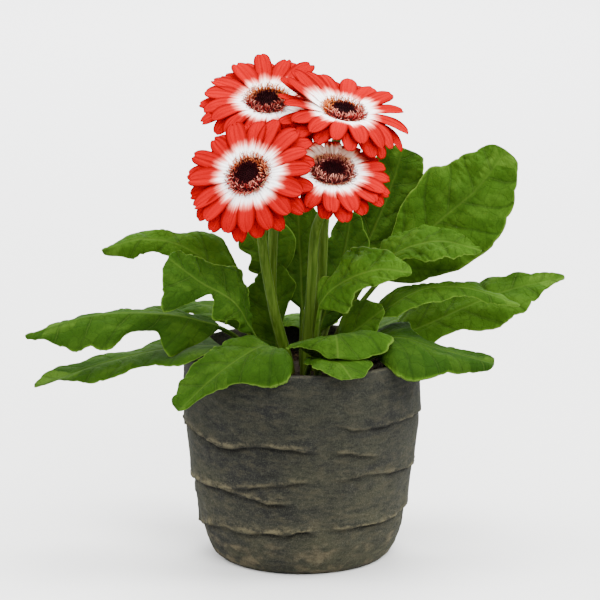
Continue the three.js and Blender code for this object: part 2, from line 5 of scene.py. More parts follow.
import bpy
import numpy as np
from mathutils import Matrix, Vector


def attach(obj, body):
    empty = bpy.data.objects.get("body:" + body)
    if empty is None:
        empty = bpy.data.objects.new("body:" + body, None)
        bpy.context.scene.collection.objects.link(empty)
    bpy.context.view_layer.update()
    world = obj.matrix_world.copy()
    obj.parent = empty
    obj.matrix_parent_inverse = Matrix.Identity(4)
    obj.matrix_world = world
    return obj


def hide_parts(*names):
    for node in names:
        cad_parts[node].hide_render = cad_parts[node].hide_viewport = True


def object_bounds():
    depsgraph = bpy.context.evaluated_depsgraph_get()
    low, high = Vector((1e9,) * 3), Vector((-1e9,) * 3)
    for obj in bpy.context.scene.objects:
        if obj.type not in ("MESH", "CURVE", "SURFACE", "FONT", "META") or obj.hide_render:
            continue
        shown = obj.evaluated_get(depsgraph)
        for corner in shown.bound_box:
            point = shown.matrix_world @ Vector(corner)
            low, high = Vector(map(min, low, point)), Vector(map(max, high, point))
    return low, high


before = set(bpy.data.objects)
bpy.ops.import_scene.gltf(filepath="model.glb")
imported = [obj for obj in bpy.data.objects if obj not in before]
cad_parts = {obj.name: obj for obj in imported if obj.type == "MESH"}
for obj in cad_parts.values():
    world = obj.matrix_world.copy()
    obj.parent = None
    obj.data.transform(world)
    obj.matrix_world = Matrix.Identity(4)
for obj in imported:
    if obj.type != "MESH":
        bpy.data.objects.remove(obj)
cad_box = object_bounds()

MM = 0.001

# ------------ sizes shared with the solids

POT_HEIGHT = 132
POT_WALL = 5.5
POT_FLOOR = 7
POT_PROFILE = [[0, 54], [2.5, 57], [8, 60], [20, 64.4], [57, 70.7], [87, 74.5], [109, 75.3], [132, 75]]
GAP = 0.3
SOIL_TOP = 116
CROWN_RADIUS = 31
CROWN_BOTTOM = 104
CROWN_TOP = 119
FOOT_BOTTOM = 107
FOOT_TOP = 120.5
PETIOLE_RADIUS = 2.3
NECK_RADIUS = 1.5
STEM_RADIUS = 3.5
STEM_TOP_RADIUS = 2.9
SWEEP = 0.12
HUB_RADIUS = 12.5
HUB_TOP = 1.1
HUB_BOTTOM = -1.6
CUP_DEPTH = 13

# foot: where a petiole stands in the crown. rib: the midrib's way from there to the tip. blade: the share
# of that way at which the blade starts. left and right: half widths at even steps from there to the tip.
# roll: the blade's turn about its rib. fold and curl: how its halves rise and bend. blunt: how wide its
# tip is. tone: how light and yellow it is, partly painted shade, set low on the lower and inner leaves
# that others shade. pucker: how much it bulges between its veins.
LEAVES = [
    dict(name="left_top", foot=[-23, 8], blade=0.36, blunt=0.6,
         rib=[[-38, 7, 150], [-54, 13, 179], [-76, 14, 196], [-102, 12, 201], [-127, 6, 195]],
         roll=[60, 30], fold=[-15, -5], curl=[-18, -10], tone_and_shade=0.6, pucker=1.2,
         left=[10, 14, 15, 13, 10, 8, 10, 6], right=[12, 20, 25, 16, 9, 9, 10, 8]),
    dict(name="left_inner", foot=[-19, -9], blade=0.38, blunt=0.6,
         rib=[[-30, -24, 146], [-42, -40, 171], [-64, -50, 187], [-82, -55, 202]],
         roll=[55, 60], fold=[-10, 0], curl=[-15, 5], tone_and_shade=0.25, pucker=1.6,
         left=[8, 8, 15, 17, 5, 15, 29, 18], right=[6, 16, 26, 22, 17, 18, 14, 12]),
    dict(name="left_long", foot=[-26, -2], blade=0.3, blunt=0.5,
         rib=[[-42, -8, 142], [-65, -18, 155], [-92, -26, 161], [-131, -32, 161], [-173, -36, 149]],
         roll=[32, 8], fold=[-26, -20], curl=[-20, -8], tone_and_shade=0.25, pucker=1.2,
         left=[18, 28, 13, 14, 25, 21, 19, 10], right=[16, 22, 16, 11, 12, 12, 11, 8]),
    dict(name="left_low", foot=[-25, -10], blade=0.26, blunt=0.5,
         rib=[[-52, -17, 137], [-77, -15, 137], [-121, -20, 129], [-168, -28, 114]],
         roll=[0, 8], fold=[-5, 5], curl=[-10, -2], tone_and_shade=0.3, pucker=0.9,
         left=[20, 25, 18, 14, 17, 17, 10, 5], right=[22, 27, 21, 13, 12, 14, 14, 11]),
    dict(name="front_left", foot=[-9, -25], blade=0.22, blunt=0.7,
         rib=[[-21, -48, 145.5], [-37, -59, 141], [-56, -66, 128], [-76, -73, 110]],
         roll=[0, 5], fold=[7, 6], curl=[-30, -2], tone_and_shade=0.35, pucker=1.3,
         left=[20, 28, 35, 28, 16, 12, 9, 5], right=[12, 15, 24, 26, 23, 22, 20, 13]),
    dict(name="back_stem", foot=[-15.5, 12], blade=0.3, blunt=0.6,
         rib=[[-17, 19, 142], [-18, 25, 160], [-17, 31, 181]],
         roll=[10, 10], fold=[5, 5], curl=[-8, -8], tone_and_shade=0.35, pucker=0.9,
         left=[20, 33, 29, 21, 16, 10], right=[4, 5, 8, 12, 14, 10]),
    dict(name="back_middle", foot=[0, 13], blade=0.4, blunt=0.7,
         rib=[[0, 29, 152], [-1, 50, 180], [-3, 64, 217]],
         roll=[0, 0], fold=[5, 5], curl=[-6, -6], tone_and_shade=0.3, pucker=1.0,
         left=[12, 18, 16, 21, 20, 18, 13], right=[12, 16, 15, 19, 19, 17, 12]),
    dict(name="back_left", foot=[-11, 17], blade=0.6, blunt=0.7,
         rib=[[-17, 28, 150], [-20, 36, 176], [-29, 44, 192], [-41, 50, 205]],
         roll=[30, 30], fold=[5, 5], curl=[-8, -8], tone_and_shade=0.35, pucker=1.0,
         left=[14, 10, 12, 8], right=[18, 24, 22, 14]),
    dict(name="right_top", foot=[19, 12], blade=0.4, blunt=0.72,
         rib=[[36, 20, 155], [62, 26, 184], [88, 27, 210], [113, 28, 232], [130, 32, 255]],
         roll=[-65, -60], fold=[8, 4], curl=[-7, -5], tone_and_shade=0.55, pucker=1.4,
         left=[12, 17, 24, 28, 31, 25, 23, 16], right=[20, 26, 32, 34, 35, 31, 24, 16]),
    dict(name="back_right", foot=[10, 19], blade=0.4, blunt=0.85,
         rib=[[22, 36, 154], [40, 48, 186], [55, 55, 220], [66, 58, 252]],
         roll=[-35, -35], fold=[8, 8], curl=[-7, -7], tone_and_shade=0.35, pucker=1.2,
         left=[14, 20, 20, 18, 16, 17, 20, 15], right=[14, 20, 22, 20, 16, 16, 19, 18]),
    dict(name="back_inner", foot=[7, 13], blade=0.3, blunt=0.7,
         rib=[[15, 24, 152], [26, 36, 183], [32, 42, 213]],
         roll=[-15, -15], fold=[5, 5], curl=[-6, -6], tone_and_shade=0.25, pucker=1.0,
         left=[9, 12, 11, 14, 14, 14, 10], right=[12, 16, 14, 18, 17, 15, 10]),
    dict(name="right_upper", foot=[15, 5], blade=0.5, blunt=0.5,
         rib=[[27, 3, 152], [43, 0, 180], [61, -3, 196], [87, -5, 203], [113, -7, 197]],
         roll=[-25, -20], fold=[15, 0], curl=[-15, -12], tone_and_shade=0.55, pucker=1.8,
         left=[12, 17, 17, 21, 15, 9, 5], right=[8, 10, 10, 18, 19, 16, 10]),
    dict(name="right_long", foot=[25, 5], blade=0.3, blunt=0.5,
         rib=[[45, 6, 136], [73, 7, 144], [100, 8, 156], [130, 10, 168], [168, 14, 176]],
         roll=[-35, -35], fold=[5, 0], curl=[-8, -10], tone_and_shade=0.6, pucker=1.1,
         left=[20, 31, 29, 23, 18, 14, 10, 7], right=[16, 13, 12, 19, 22, 21, 15, 6]),
    dict(name="right_middle", foot=[21, -3], blade=0.3, blunt=0.5,
         rib=[[36, -8, 146], [56, -12, 163], [76, -14, 174], [103, -15, 175], [137, -16, 164]],
         roll=[-5, -10], fold=[10, -10], curl=[-5, -12], tone_and_shade=0.45, pucker=1.2,
         left=[17, 19, 16, 11, 9, 8, 6], right=[9, 14, 13, 12, 8, 6, 4]),
    dict(name="front_crinkled", foot=[9, -17], blade=0.48, blunt=0.6,
         rib=[[9, -30, 150], [14, -38, 174], [30, -42, 187], [48, -40, 192], [68, -36, 189]],
         roll=[-40, -45], fold=[0, 0], curl=[-5, -8], tone_and_shade=0.75, pucker=1.9,
         left=[18, 13, 21, 26, 24, 20, 15, 9], right=[15, 22, 17, 12, 12, 11, 8, 4]),
    dict(name="right_low", foot=[24, -10], blade=0.2, blunt=0.75,
         rib=[[38, -19, 138], [58, -29, 146.5], [86, -34, 140], [120, -33, 130]],
         roll=[0, -5], fold=[5, 5], curl=[0, -38], tone_and_shade=0.15, pucker=0.9,
         left=[19, 29, 26, 13, 8, 8, 11, 12], right=[19, 15, 28, 33, 29, 20, 14, 9]),
    dict(name="front_short", foot=[10, -25], blade=0.3, blunt=0.6,
         rib=[[18, -36, 147], [21, -52, 152], [22, -67, 142]],
         roll=[0, 0], fold=[6, -5], curl=[-12, -10], tone_and_shade=0.5, pucker=1.2,
         left=[12, 23, 31, 36, 33, 22], right=[16, 28, 33, 30, 22, 12]),
    dict(name="front_rim", foot=[3, -22], blade=0.42, blunt=0.7,
         rib=[[7, -38, 134], [15, -56, 139], [24, -70, 138.5], [30, -80, 132]],
         roll=[0, 0], fold=[3, 3], curl=[-8, -8], tone_and_shade=0.5, pucker=1.0,
         left=[9, 18, 20, 24, 22, 15], right=[9, 15, 13, 17, 15, 11]),
    dict(name="right_inner", foot=[18, -13], blade=0.4, blunt=0.6,
         rib=[[26, -15, 141], [39, -19, 153], [51, -22, 163]],
         roll=[-40, -50], fold=[5, 5], curl=[-8, -8], tone_and_shade=0.5, pucker=1.1,
         left=[13, 19, 23, 22, 17, 10], right=[6, 9, 13, 14, 12, 7]),
    dict(name="back_right_low", foot=[17, 20], blade=0.24, blunt=0.6,
         rib=[[42, 26, 136], [64, 46, 142], [94, 72, 140], [116, 90, 128]],
         roll=[0, 0], fold=[5, 5], curl=[-12, -12], tone_and_shade=0.45, pucker=1.0,
         left=[16, 22, 18, 24, 24, 20, 15, 9], right=[16, 22, 18, 24, 24, 20, 15, 9]),
    dict(name="back_low", foot=[3, 26], blade=0.26, blunt=0.6,
         rib=[[5, 50, 136], [2, 76, 138], [-4, 108, 128], [-8, 134, 108]],
         roll=[0, 0], fold=[3, 3], curl=[-12, -12], tone_and_shade=0.45, pucker=1.0,
         left=[14, 20, 16, 23, 24, 21, 16, 9], right=[13, 21, 17, 22, 24, 20, 15, 9]),
    dict(name="back_left_low", foot=[-20, 18], blade=0.28, blunt=0.6,
         rib=[[-36, 40, 140], [-62, 62, 147], [-92, 82, 141], [-112, 94, 126]],
         roll=[0, 0], fold=[5, 5], curl=[-12, -12], tone_and_shade=0.45, pucker=1.0,
         left=[15, 21, 17, 23, 22, 19, 14, 8], right=[15, 20, 17, 23, 23, 20, 15, 9]),
]

# centre: the middle of the hub. facing: where the face looks. bends: how the petals on one side differ: how
# many degrees more they rise at the hub, how many more they droop, and how few share it. foot and via: the
# stem's way.
BLOOMS = [
    dict(name="front_left", centre=[-32, -50, 252], facing=[-0.36, -0.71, 0.605], radius=43,
         foot=[-8, -8], via=[[-19, -14, 167], [-25, -20, 209]],
         bends=[dict(side=-90, lift=-2, droop=9, narrow=1), dict(side=90, lift=-1, droop=5, narrow=1),
                dict(side=175, lift=3, droop=-14, narrow=1)]),
    dict(name="back_left", centre=[-22, 22, 286.5], facing=[-0.05, -0.5, 0.86], radius=46,
         foot=[-9, 8], via=[[-19, 6, 163], [-18, 9, 213], [-19, 22, 254]],
         bends=[dict(side=-108, lift=18, droop=12, narrow=2), dict(side=90, lift=2, droop=-16, narrow=1),
                dict(side=-30, lift=-4, droop=20, narrow=3), dict(side=-144, lift=13, droop=0, narrow=5)]),
    dict(name="front_right", centre=[18.5, -36, 251], facing=[0.1, -0.48, 0.87], radius=39,
         foot=[2, -10], via=[[6, -10, 177], [9, -15, 214]],
         bends=[dict(side=-90, lift=3, droop=8, narrow=1), dict(side=90, lift=0, droop=8, narrow=1)]),
    dict(name="back_right", centre=[25.5, 0, 283], facing=[0.2, -0.34, 0.92], radius=45.5,
         foot=[5, 3], via=[[12, 4, 175], [14, 6, 213], [19, 8, 248]],
         bends=[dict(side=-115, lift=21, droop=0, narrow=2), dict(side=-62, lift=2, droop=34, narrow=5),
                dict(side=131, lift=16, droop=-46, narrow=4), dict(side=30, lift=2, droop=-12, narrow=2)]),
]

# For each bloom, how orange its upper florets are, how red its florets are, how shaded its upper petals
# are, and how many mm nearer the middle they turn red.
BLOOM_LOOKS = {"front_left": (0.55, 1.0, 0.0, 0.0), "back_left": (1.0, 0.95, 0.0, 0.5),
               "front_right": (0.0, 0.45, 0.85, 0.0), "back_right": (1.0, 1.0, 0.0, -0.5)}

# ------------ numbers


def chance(i, k):
    """Repeatable numbers from 0 to 1 for the i-th things and their k-th property."""
    x = np.sin(np.asarray(i, float) * 12.9898 + k * 78.233) * 43758.5453
    return x - np.floor(x)


def smooth(t):
    c = np.clip(t, 0, 1)
    return c * c * (3 - 2 * c)


def bell(x):
    return np.exp(-(x**2))


def lerp(a, b, t):
    return a + (b - a) * t


def stack(*parts):
    """Numbers, or arrays that fit each other, side by side along a new last axis."""
    return np.stack(np.broadcast_arrays(*parts), -1)


def noise(points, seed):
    """Smooth noise from -1 to 1 at points (..., 3), with cells 1 across."""
    points = np.asarray(points, float)
    cell = np.floor(points)
    part = smooth(points - cell)
    total = np.zeros(points.shape[:-1])
    for corner in np.ndindex(2, 2, 2):
        at = np.array(corner)
        weight = np.prod(np.where(at, part, 1 - part), axis=-1)
        x = np.sin((cell + at) @ np.array([127.1, 311.7, 74.7]) + seed * 17.3) * 43758.5453
        total += weight * (x - np.floor(x))
    return 2 * total - 1


def noise_line(t, seed):
    """Smooth noise from -1 to 1 along one line."""
    return noise(stack(t, 0.5, 0.5), seed)


def unit(v):
    v = np.asarray(v, float)
    return v / np.linalg.norm(v, axis=-1, keepdims=True)


def eased(xs, ys, x):
    """A smooth curve through the points (xs, ys) that doesn't overshoot them."""
    xs, ys = np.asarray(xs, float), np.asarray(ys, float)
    step = np.diff(ys) / np.diff(xs)
    slope = np.zeros(len(xs))
    same = step[:-1] * step[1:] > 0
    slope[1:-1][same] = 2 * step[:-1][same] * step[1:][same] / (step[:-1][same] + step[1:][same])
    slope[0], slope[-1] = step[0], step[-1]
    i = np.clip(np.searchsorted(xs, x) - 1, 0, len(xs) - 2)
    h = xs[i + 1] - xs[i]
    t = np.clip((x - xs[i]) / h, 0, 1)
    return ((2 * t**3 - 3 * t**2 + 1) * ys[i] + (t**3 - 2 * t**2 + t) * h * slope[i]
            + (3 * t**2 - 2 * t**3) * ys[i + 1] + (t**3 - t**2) * h * slope[i + 1])


class Curve:
    """A centripetal Catmull-Rom curve, read by the share of its length."""

    SAMPLES = 900

    def __init__(self, points):
        self.knots = np.array(points, float)
        line = np.array([self.at_knot(i / self.SAMPLES) for i in range(self.SAMPLES + 1)])
        way = np.concatenate([[0], np.cumsum(np.linalg.norm(np.diff(line, axis=0), axis=1))])
        self.line, self.way, self.length = line, way, way[-1]

    def at_knot(self, t):
        p = self.knots
        q = (len(p) - 1) * t
        i = min(int(q), len(p) - 2)
        w = q - i
        before = p[i - 1] if i > 0 else 2 * p[0] - p[1]
        after = p[i + 2] if i + 2 < len(p) else 2 * p[-1] - p[-2]
        a, b = p[i], p[i + 1]
        d0, d1, d2 = (np.dot(e - s, e - s) ** 0.25 for s, e in ((before, a), (a, b), (b, after)))
        m1 = ((a - before) / d0 - (b - before) / (d0 + d1) + (b - a) / d1) * d1
        m2 = ((b - a) / d1 - (after - a) / (d1 + d2) + (after - b) / d2) * d1
        return a + m1 * w + (-3 * a + 3 * b - 2 * m1 - m2) * w**2 + (2 * a - 2 * b + m1 + m2) * w**3

    def at(self, share):
        x = np.clip(share, 0, 1) * self.length
        return stack(*(np.interp(x, self.way, self.line[:, k]) for k in range(3)))

    def along(self, share):
        return unit(self.at(share + 0.004) - self.at(share - 0.004))


def stalk_curve(foot, points):
    upright = [[*foot, z] for z in (FOOT_BOTTOM, (FOOT_BOTTOM + FOOT_TOP) / 2, FOOT_TOP)]
    return Curve([*upright, *points])


# ------------ rings of points


def turns(count):
    """The angles of points evenly round a circle."""
    return np.arange(count) / count * 2 * np.pi


def polar(radius, angle, z, aside=0.0):
    """Points round the Z axis, so many mm aside of their angle."""
    c, s = np.cos(angle), np.sin(angle)
    return stack(radius * c - aside * s, radius * s + aside * c, z)


def turned(profile, sides):
    """Rings round the Z axis, one for each (radius, height) of a profile."""
    radius, z = np.array(profile, float).T[..., None]
    return polar(radius, turns(sides), z)


def spun(right, up, angle):
    """Directions at an angle from right towards up."""
    return right * np.cos(angle)[..., None] + up * np.sin(angle)[..., None]


def closed(upper, lower):
    """Rings that run across the upper points and back along the lower ones."""
    return np.concatenate([upper, lower[..., -2:0:-1, :]], -2)


def tubes(paths, radii, sides):
    """Rings (k, rows, sides, 3) round paths (k, rows, 3) with radii (k, rows)."""
    along = unit(np.gradient(paths, axis=1))
    helper = np.where(np.abs(along[:, :1, 2:]) > 0.9, [[[1.0, 0, 0]]], [[[0, 0, 1.0]]])
    right = unit(np.cross(along, helper))[:, :, None]
    up = np.cross(right, along[:, :, None])
    return paths[:, :, None] + radii[..., None, None] * spun(right, up, turns(sides))


# ------------ meshes

BOX_MARGIN = 1.5
HAIR_RADIUS = 0.05

# Where two pieces pass closely by each other: which one gives way, where, and how far it moves there.
GIVING_WAY = [
    ("foliage_left_long", [-79, -30, 134], [0, 0, 1.2]),
    ("foliage_right_inner", [31.5, 0.7, 162.5], [0, -1.7, 0]),
    ("foliage_right_low", [52, -50.5, 132], [0, 0, 2.2]),
    ("ray_florets_back_left", [15.6, 34.7, 298], [-1, 0, -1.5]),
    ("ray_florets_back_left", [-4.4, -10.5, 260.6], [-1, 1, 1]),
]
GIVING_RADIUS = 16.0


def given_way(name, points):
    for piece, spot, way in GIVING_WAY:
        if piece == name:
            away = np.linalg.norm(points - np.array(spot), axis=1)
            points = points + (1 - smooth(away / GIVING_RADIUS))[:, None] * np.array(way)
    return points


def kept_inside(points):
    """Points in mm, eased back where they near the solids' own box. Its flat foot is left as it is."""
    low, high = np.array([list(corner) for corner in cad_box]) / MM
    low[2] = -1000.0
    above = np.maximum(points - high + BOX_MARGIN, 0)
    below = np.maximum(low + BOX_MARGIN - points, 0)
    ease = [over - BOX_MARGIN * (1 - np.exp(-over / BOX_MARGIN)) for over in (above, below)]
    return points - ease[0] + ease[1]


def placed(name, data):
    """A new object of the scene."""
    obj = bpy.data.objects.new(name, data)
    bpy.context.scene.collection.objects.link(obj)
    return obj


class Form:
    """Closed surfaces collected for one piece, with four numbers at each point for its material."""

    def __init__(self):
        self.points, self.faces, self.marks, self.count = [], [], [], 0

    def lofts(self, rings, first, last, marks):
        """One or more solids of the same build: rings (..., rows, n, 3), end points (..., 3) and marks."""
        rings = np.reshape(rings, (-1, *np.shape(rings)[-3:]))
        k, rows, n, _ = rings.shape
        marks = np.broadcast_to(marks, (k, rows, n, 4))
        ends = [np.reshape(end, (k, 1, 3)) for end in (first, last)]
        points = np.concatenate([rings.reshape(k, -1, 3), *ends], 1)
        marks = np.concatenate([marks.reshape(k, -1, 4), marks[:, [0, -1]].mean(2)], 1)
        each = rows * n + 2
        top = (rows - 1) * n
        e, f = np.arange(n), (np.arange(n) + 1) % n
        row = np.arange(rows - 1)[:, None] * n
        quads = stack(row + e, row + f, row + f + n, row + e + n).reshape(-1, 4)
        tris = np.concatenate([stack(f, e, each - 2), stack(e + top, f + top, each - 1)])
        fans = np.concatenate([quads[:, [0, 1, 2]], quads[:, [0, 2, 3]], tris])
        p, q, r = points[0][fans.T]
        if np.sum(p * np.cross(q, r)) < 0:
            quads, tris = quads[:, ::-1], tris[:, ::-1]
        shift = self.count + (np.arange(k) * each)[:, None, None]
        self.faces += [(quads + shift).reshape(-1, 4), (tris + shift).reshape(-1, 3)]
        self.points.append(points.reshape(-1, 3))
        self.marks.append(marks.reshape(-1, 4))
        self.count += k * each

    def piece(self, name, node, slot, material):
        """Makes the mesh, in metres, in place of the CAD node."""
        mesh = bpy.data.meshes.new(name)
        faces = [row for block in self.faces for row in block.tolist()]
        points = kept_inside(given_way(name, np.concatenate(self.points)))
        mesh.from_pydata((points * MM).tolist(), [], faces)
        marks = np.concatenate(self.marks).astype(np.float32)
        mesh.color_attributes.new("marks", "FLOAT_COLOR", "POINT").data.foreach_set("color", marks.ravel())
        mesh.shade_smooth()
        mesh.materials.append(material)
        obj = placed(name, mesh)
        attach(obj, "root")
        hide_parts(node)


def hairs(form, roots, ways, length, mark, seed):
    """Fine three-sided hairs, sunk a little into what they grow from."""
    side = unit(np.cross(ways, ways[:, [1, 2, 0]]))
    other = np.cross(ways, side)
    base = (roots - 0.15 * ways)[:, None] + HAIR_RADIUS * spun(side[:, None], other[:, None], turns(3))
    far = length * (0.6 + 0.8 * chance(np.arange(len(roots)), seed))[:, None]
    form.lofts(base[:, None], roots - 0.2 * ways, roots + far * ways, mark)


# ------------ materials


def linear(r, g, b):
    """A screen colour, 0 to 255, as linear light."""
    c = np.array([r, g, b]) / 255
    return np.where(c < 0.04045, c / 12.92, ((c + 0.055) / 1.055) ** 2.4)


def rgb(r, g, b):
    return (*linear(r, g, b), 1.0)


def operation(kind):
    return lambda value, other: value.paint.math(kind, value, other)


class Value:
    """What comes out of a material's node. Sums and products of it, and the like, make Math nodes."""

    __add__, __sub__, __mul__, __pow__ = map(operation, ("ADD", "SUBTRACT", "MULTIPLY", "POWER"))
    __gt__, __lt__ = map(operation, ("GREATER_THAN", "LESS_THAN"))

    def __init__(self, paint, socket):
        self.paint, self.socket = paint, socket

    def __abs__(self):
        return self.paint.math("ABSOLUTE", self)

    def other(self, name):
        """Another output of the same node."""
        return Value(self.paint, self.socket.node.outputs[name])


class Paint:
    """A material's nodes by short calls. What an input is given is a number, a colour or a Value."""

    def __init__(self, name, **sockets):
        self.material = bpy.data.materials.new(name)
        self.material.use_nodes = True
        self.tree = self.material.node_tree
        self.finish(**sockets)

    def put(self, node, inputs):
        for key, value in inputs.items():
            if isinstance(value, Value):
                self.tree.links.new(value.socket, node.inputs[key])
            else:
                node.inputs[key].default_value = value

    def node(self, kind, inputs, output=0, **settings):
        made = self.tree.nodes.new("ShaderNode" + kind)
        for key, value in settings.items():
            setattr(made, key, value)
        self.put(made, inputs)
        return Value(self, made.outputs[output])

    def finish(self, **sockets):
        """Sets the shader's own sockets, with _ for each space of their names."""
        shader = self.tree.nodes["Principled BSDF"]
        self.put(shader, {key.replace("_", " "): value for key, value in sockets.items()})
        return self.material

    def math(self, kind, a, b=0.0):
        return self.node("Math", {0: a, 1: b}, operation=kind)

    def mix(self, share, a, b, how="MIX"):
        return self.node("Mix", {0: share, 6: a, 7: b}, 2, data_type="RGBA", blend_type=how)

    def layers(self, colour, *coats):
        """A colour under others, each of which comes with its share."""
        for share, coat in coats:
            colour = self.mix(share, colour, coat)
        return colour

    def step(self, value, low, high, most=1.0, least=0.0):
        """A smooth step from least, where the value is low, to most, where it is high."""
        inputs = {0: value, 1: low, 2: high, 3: least, 4: most}
        return self.node("MapRange", inputs, interpolation_type="SMOOTHSTEP")

    def noise(self, vector, scale, detail, roughness):
        inputs = {"Vector": vector, "Scale": scale, "Detail": detail, "Roughness": roughness}
        return self.node("TexNoise", inputs, "Fac")

    def cell_edge(self, vector, scale):
        """How far a point is from the nearest border between cells."""
        inputs = {"Vector": vector, "Scale": scale}
        return self.node("TexVoronoi", inputs, "Distance", feature="DISTANCE_TO_EDGE")

    def attribute(self, output):
        return self.node("Attribute", {}, output, attribute_name="marks", attribute_type="GEOMETRY")

    def marks(self):
        """The piece's own four numbers."""
        made = self.attribute("Vector")
        x = self.node("SeparateXYZ", {0: made})
        return x, x.other(1), x.other(2), made.other("Alpha")

    def vector(self, x, y, z):
        return self.node("CombineXYZ", {0: x, 1: y, 2: z})

    def place(self):
        """Where a point is, in metres, on the object itself."""
        return self.node("TexCoord", {}, "Object")

    def scaled_place(self, up):
        """The same, with its height times a number."""
        return self.node("Mapping", {"Vector": self.place(), "Scale": (1.0, 1.0, up)})

    def bump(self, height, distance, strength):
        return self.node("Bump", {"Height": height, "Distance": distance * MM, "Strength": strength})


def clay_material():
    # marks: crest, shadow under a crest, patchiness, height from 0 to 1
    p = Paint("clay", Roughness=0.92, Specular_IOR_Level=0.08)
    crest, under, patch, height = p.marks()
    place = p.place()
    flat = p.scaled_place(2.6)
    cloud = p.noise(flat, 24, 6, 0.62)
    smear = p.noise(flat, 110, 5, 0.65)
    grain = p.noise(place, 480, 5, 0.7)
    speck = p.noise(place, 1500, 2, 0.6)
    wide = p.noise(place, 13, 3, 0.5)
    torn = smear + grain * 0.7
    body = p.layers(
        rgb(26, 27, 26),
        (p.step(cloud, 0.36, 0.66), rgb(38, 39, 31)),
        (p.step(wide, 0.4, 0.62, 0.35), rgb(42, 43, 32)),
        (p.step(wide, 0.5, 0.3, 0.45), rgb(19, 20, 19)),
        (p.step(smear, 0.44, 0.7, 0.75), rgb(50, 48, 37)),
        (p.step(smear, 0.5, 0.26, 0.75), rgb(15, 16, 15)),
        (p.step(patch, 0.25, 0.9, 0.85) * p.step(torn, 0.68, 0.96, 1, 0.25), rgb(69, 63, 49)),
        (p.step(grain, 0.48, 0.8, 0.45), rgb(66, 65, 54)),
        (p.step(grain, 0.46, 0.2, 0.6), rgb(13, 13, 13)),
        (crest * p.step(torn, 0.7, 0.98, 1, 0.1) * 0.85, rgb(80, 75, 57)),
        (under * 0.85, rgb(8, 8, 7)),
        (p.step(speck, 0.5, 0.75, 0.4), rgb(68, 69, 58)),
        (p.step(speck, 0.48, 0.28, 0.45), rgb(10, 10, 10)))
    dusty = p.mix(p.step(height, 0.88, 0.05), (0.74, 0.74, 0.76, 1), (1.2, 1.16, 1.1, 1))
    rough = grain * 0.6 + speck * 0.25 + smear * 0.9
    return p.finish(Base_Color=p.mix(1.0, body, dusty, "MULTIPLY"), Normal=p.bump(rough, 0.6, 0.9))


def soil_material():
    # marks: how light a crumb is
    p = Paint("soil", Roughness=0.95, Specular_IOR_Level=0.03)
    tint, _, _, _ = p.marks()
    grain = p.noise(p.place(), 600, 5, 0.7)
    body = p.layers(
        rgb(16, 12, 9),
        (p.step(grain, 0.3, 0.7), rgb(42, 31, 22)),
        (p.step(tint, 0.55, 1.0), rgb(68, 53, 35)))
    return p.finish(Base_Color=body, Normal=p.bump(grain, 0.6, 1.0))


def crown_material():
    # marks: how green a hair is
    p = Paint("crown", Roughness=0.9, Specular_IOR_Level=0.03)
    tint, _, _, _ = p.marks()
    grain = p.noise(p.place(), 500, 5, 0.7)
    body = p.layers(
        rgb(17, 13, 9),
        (p.step(grain, 0.3, 0.7), rgb(40, 32, 20)),
        (tint, rgb(44, 54, 18)))
    return p.finish(Base_Color=body, Normal=p.bump(grain, 0.5, 1.0))


def leaf_material():
    # marks: mm along the blade, mm across it (left is minus), lateral vein count, and tone, which is partly
    # painted shade, rises to 1.2 at the blade's edge as a painted highlight, and is 2 more below
    p = Paint("leaf", Roughness=0.5, Specular_IOR_Level=0.006)
    along, across, veins, last = p.marks()
    below = last > 1.5
    # painted highlight: a pale strip along the top's edge, standing in for light shining through the thin rim
    rim = p.step(last, 0.8, 1.15) * p.step(last, 1.8, 1.4)
    left = across < 0.0
    count = veins + left * 0.5
    off = abs(across)
    vein = abs(p.math("FRACT", count) - 0.5)
    line = p.step(vein, 0.028, 0.0) * p.step(off, 34.0, 6.0)
    groove = p.step(vein, 0.1, 0.0)
    rib = p.step(off, 0.95, 0.35) * p.step(along, 110.0, 30.0, 1, 0.25)
    flat = p.vector(along, across, 0.0)
    warp = p.noise(flat, 0.22, 3, 0.6) * 5.0
    bent = p.vector(along + warp, across - warp, 0.0)
    net = p.step(p.cell_edge(bent, 0.4), 0.13, 0.0)
    fork = p.step(p.cell_edge(bent, 0.13), 0.07, 0.0)
    cloud = p.noise(p.place(), 30, 4, 0.6)
    panel = p.noise(p.vector(p.math("FLOOR", count) * 3.7, off * 0.05, left * 9.0), 1.0, 3, 0.55)
    top = p.layers(
        rgb(22, 43, 9),
        (last - below * 2.0, rgb(54, 83, 18)),
        (p.step(cloud, 0.4, 0.7, 0.5), rgb(18, 37, 6)),
        (p.step(panel, 0.42, 0.7, 0.45), rgb(68, 94, 29)),
        # painted shade in the vein grooves and in the fine net of creases between the puckers
        (fork * 0.2, rgb(16, 34, 6)),
        (net * 0.15, rgb(18, 37, 7)),
        (groove * 0.45, rgb(13, 31, 6)),
        (line * 0.22, rgb(74, 95, 36)),
        (rib * 0.24, rgb(78, 98, 38)))
    under = p.layers(
        rgb(48, 69, 21),
        (p.step(cloud, 0.3, 0.7), rgb(65, 86, 33)),
        (p.math("MAXIMUM", line, rib) * 0.5, rgb(97, 110, 76)))
    colour = p.layers(
        top,
        (below, under),
        # the painted edge highlight
        (rim * 0.3, rgb(98, 118, 52)),
        (p.step(along, -2.0, -40.0) * 0.5, rgb(63, 69, 31)),
        (p.step(along, -38.0, -70.0, 0.7), rgb(59, 36, 26)))
    dips = (groove * -0.3 + net * -0.22 - fork * 0.4) * p.step(off, 0.9, 2.6)
    height = dips + p.noise(flat, 1.0, 4, 0.62) * 0.5
    dull = p.step(cloud, 0.2, 0.8, 0.62, 0.44)
    return p.finish(Base_Color=colour, Normal=p.bump(height, 0.6, 0.8), Roughness=dull)


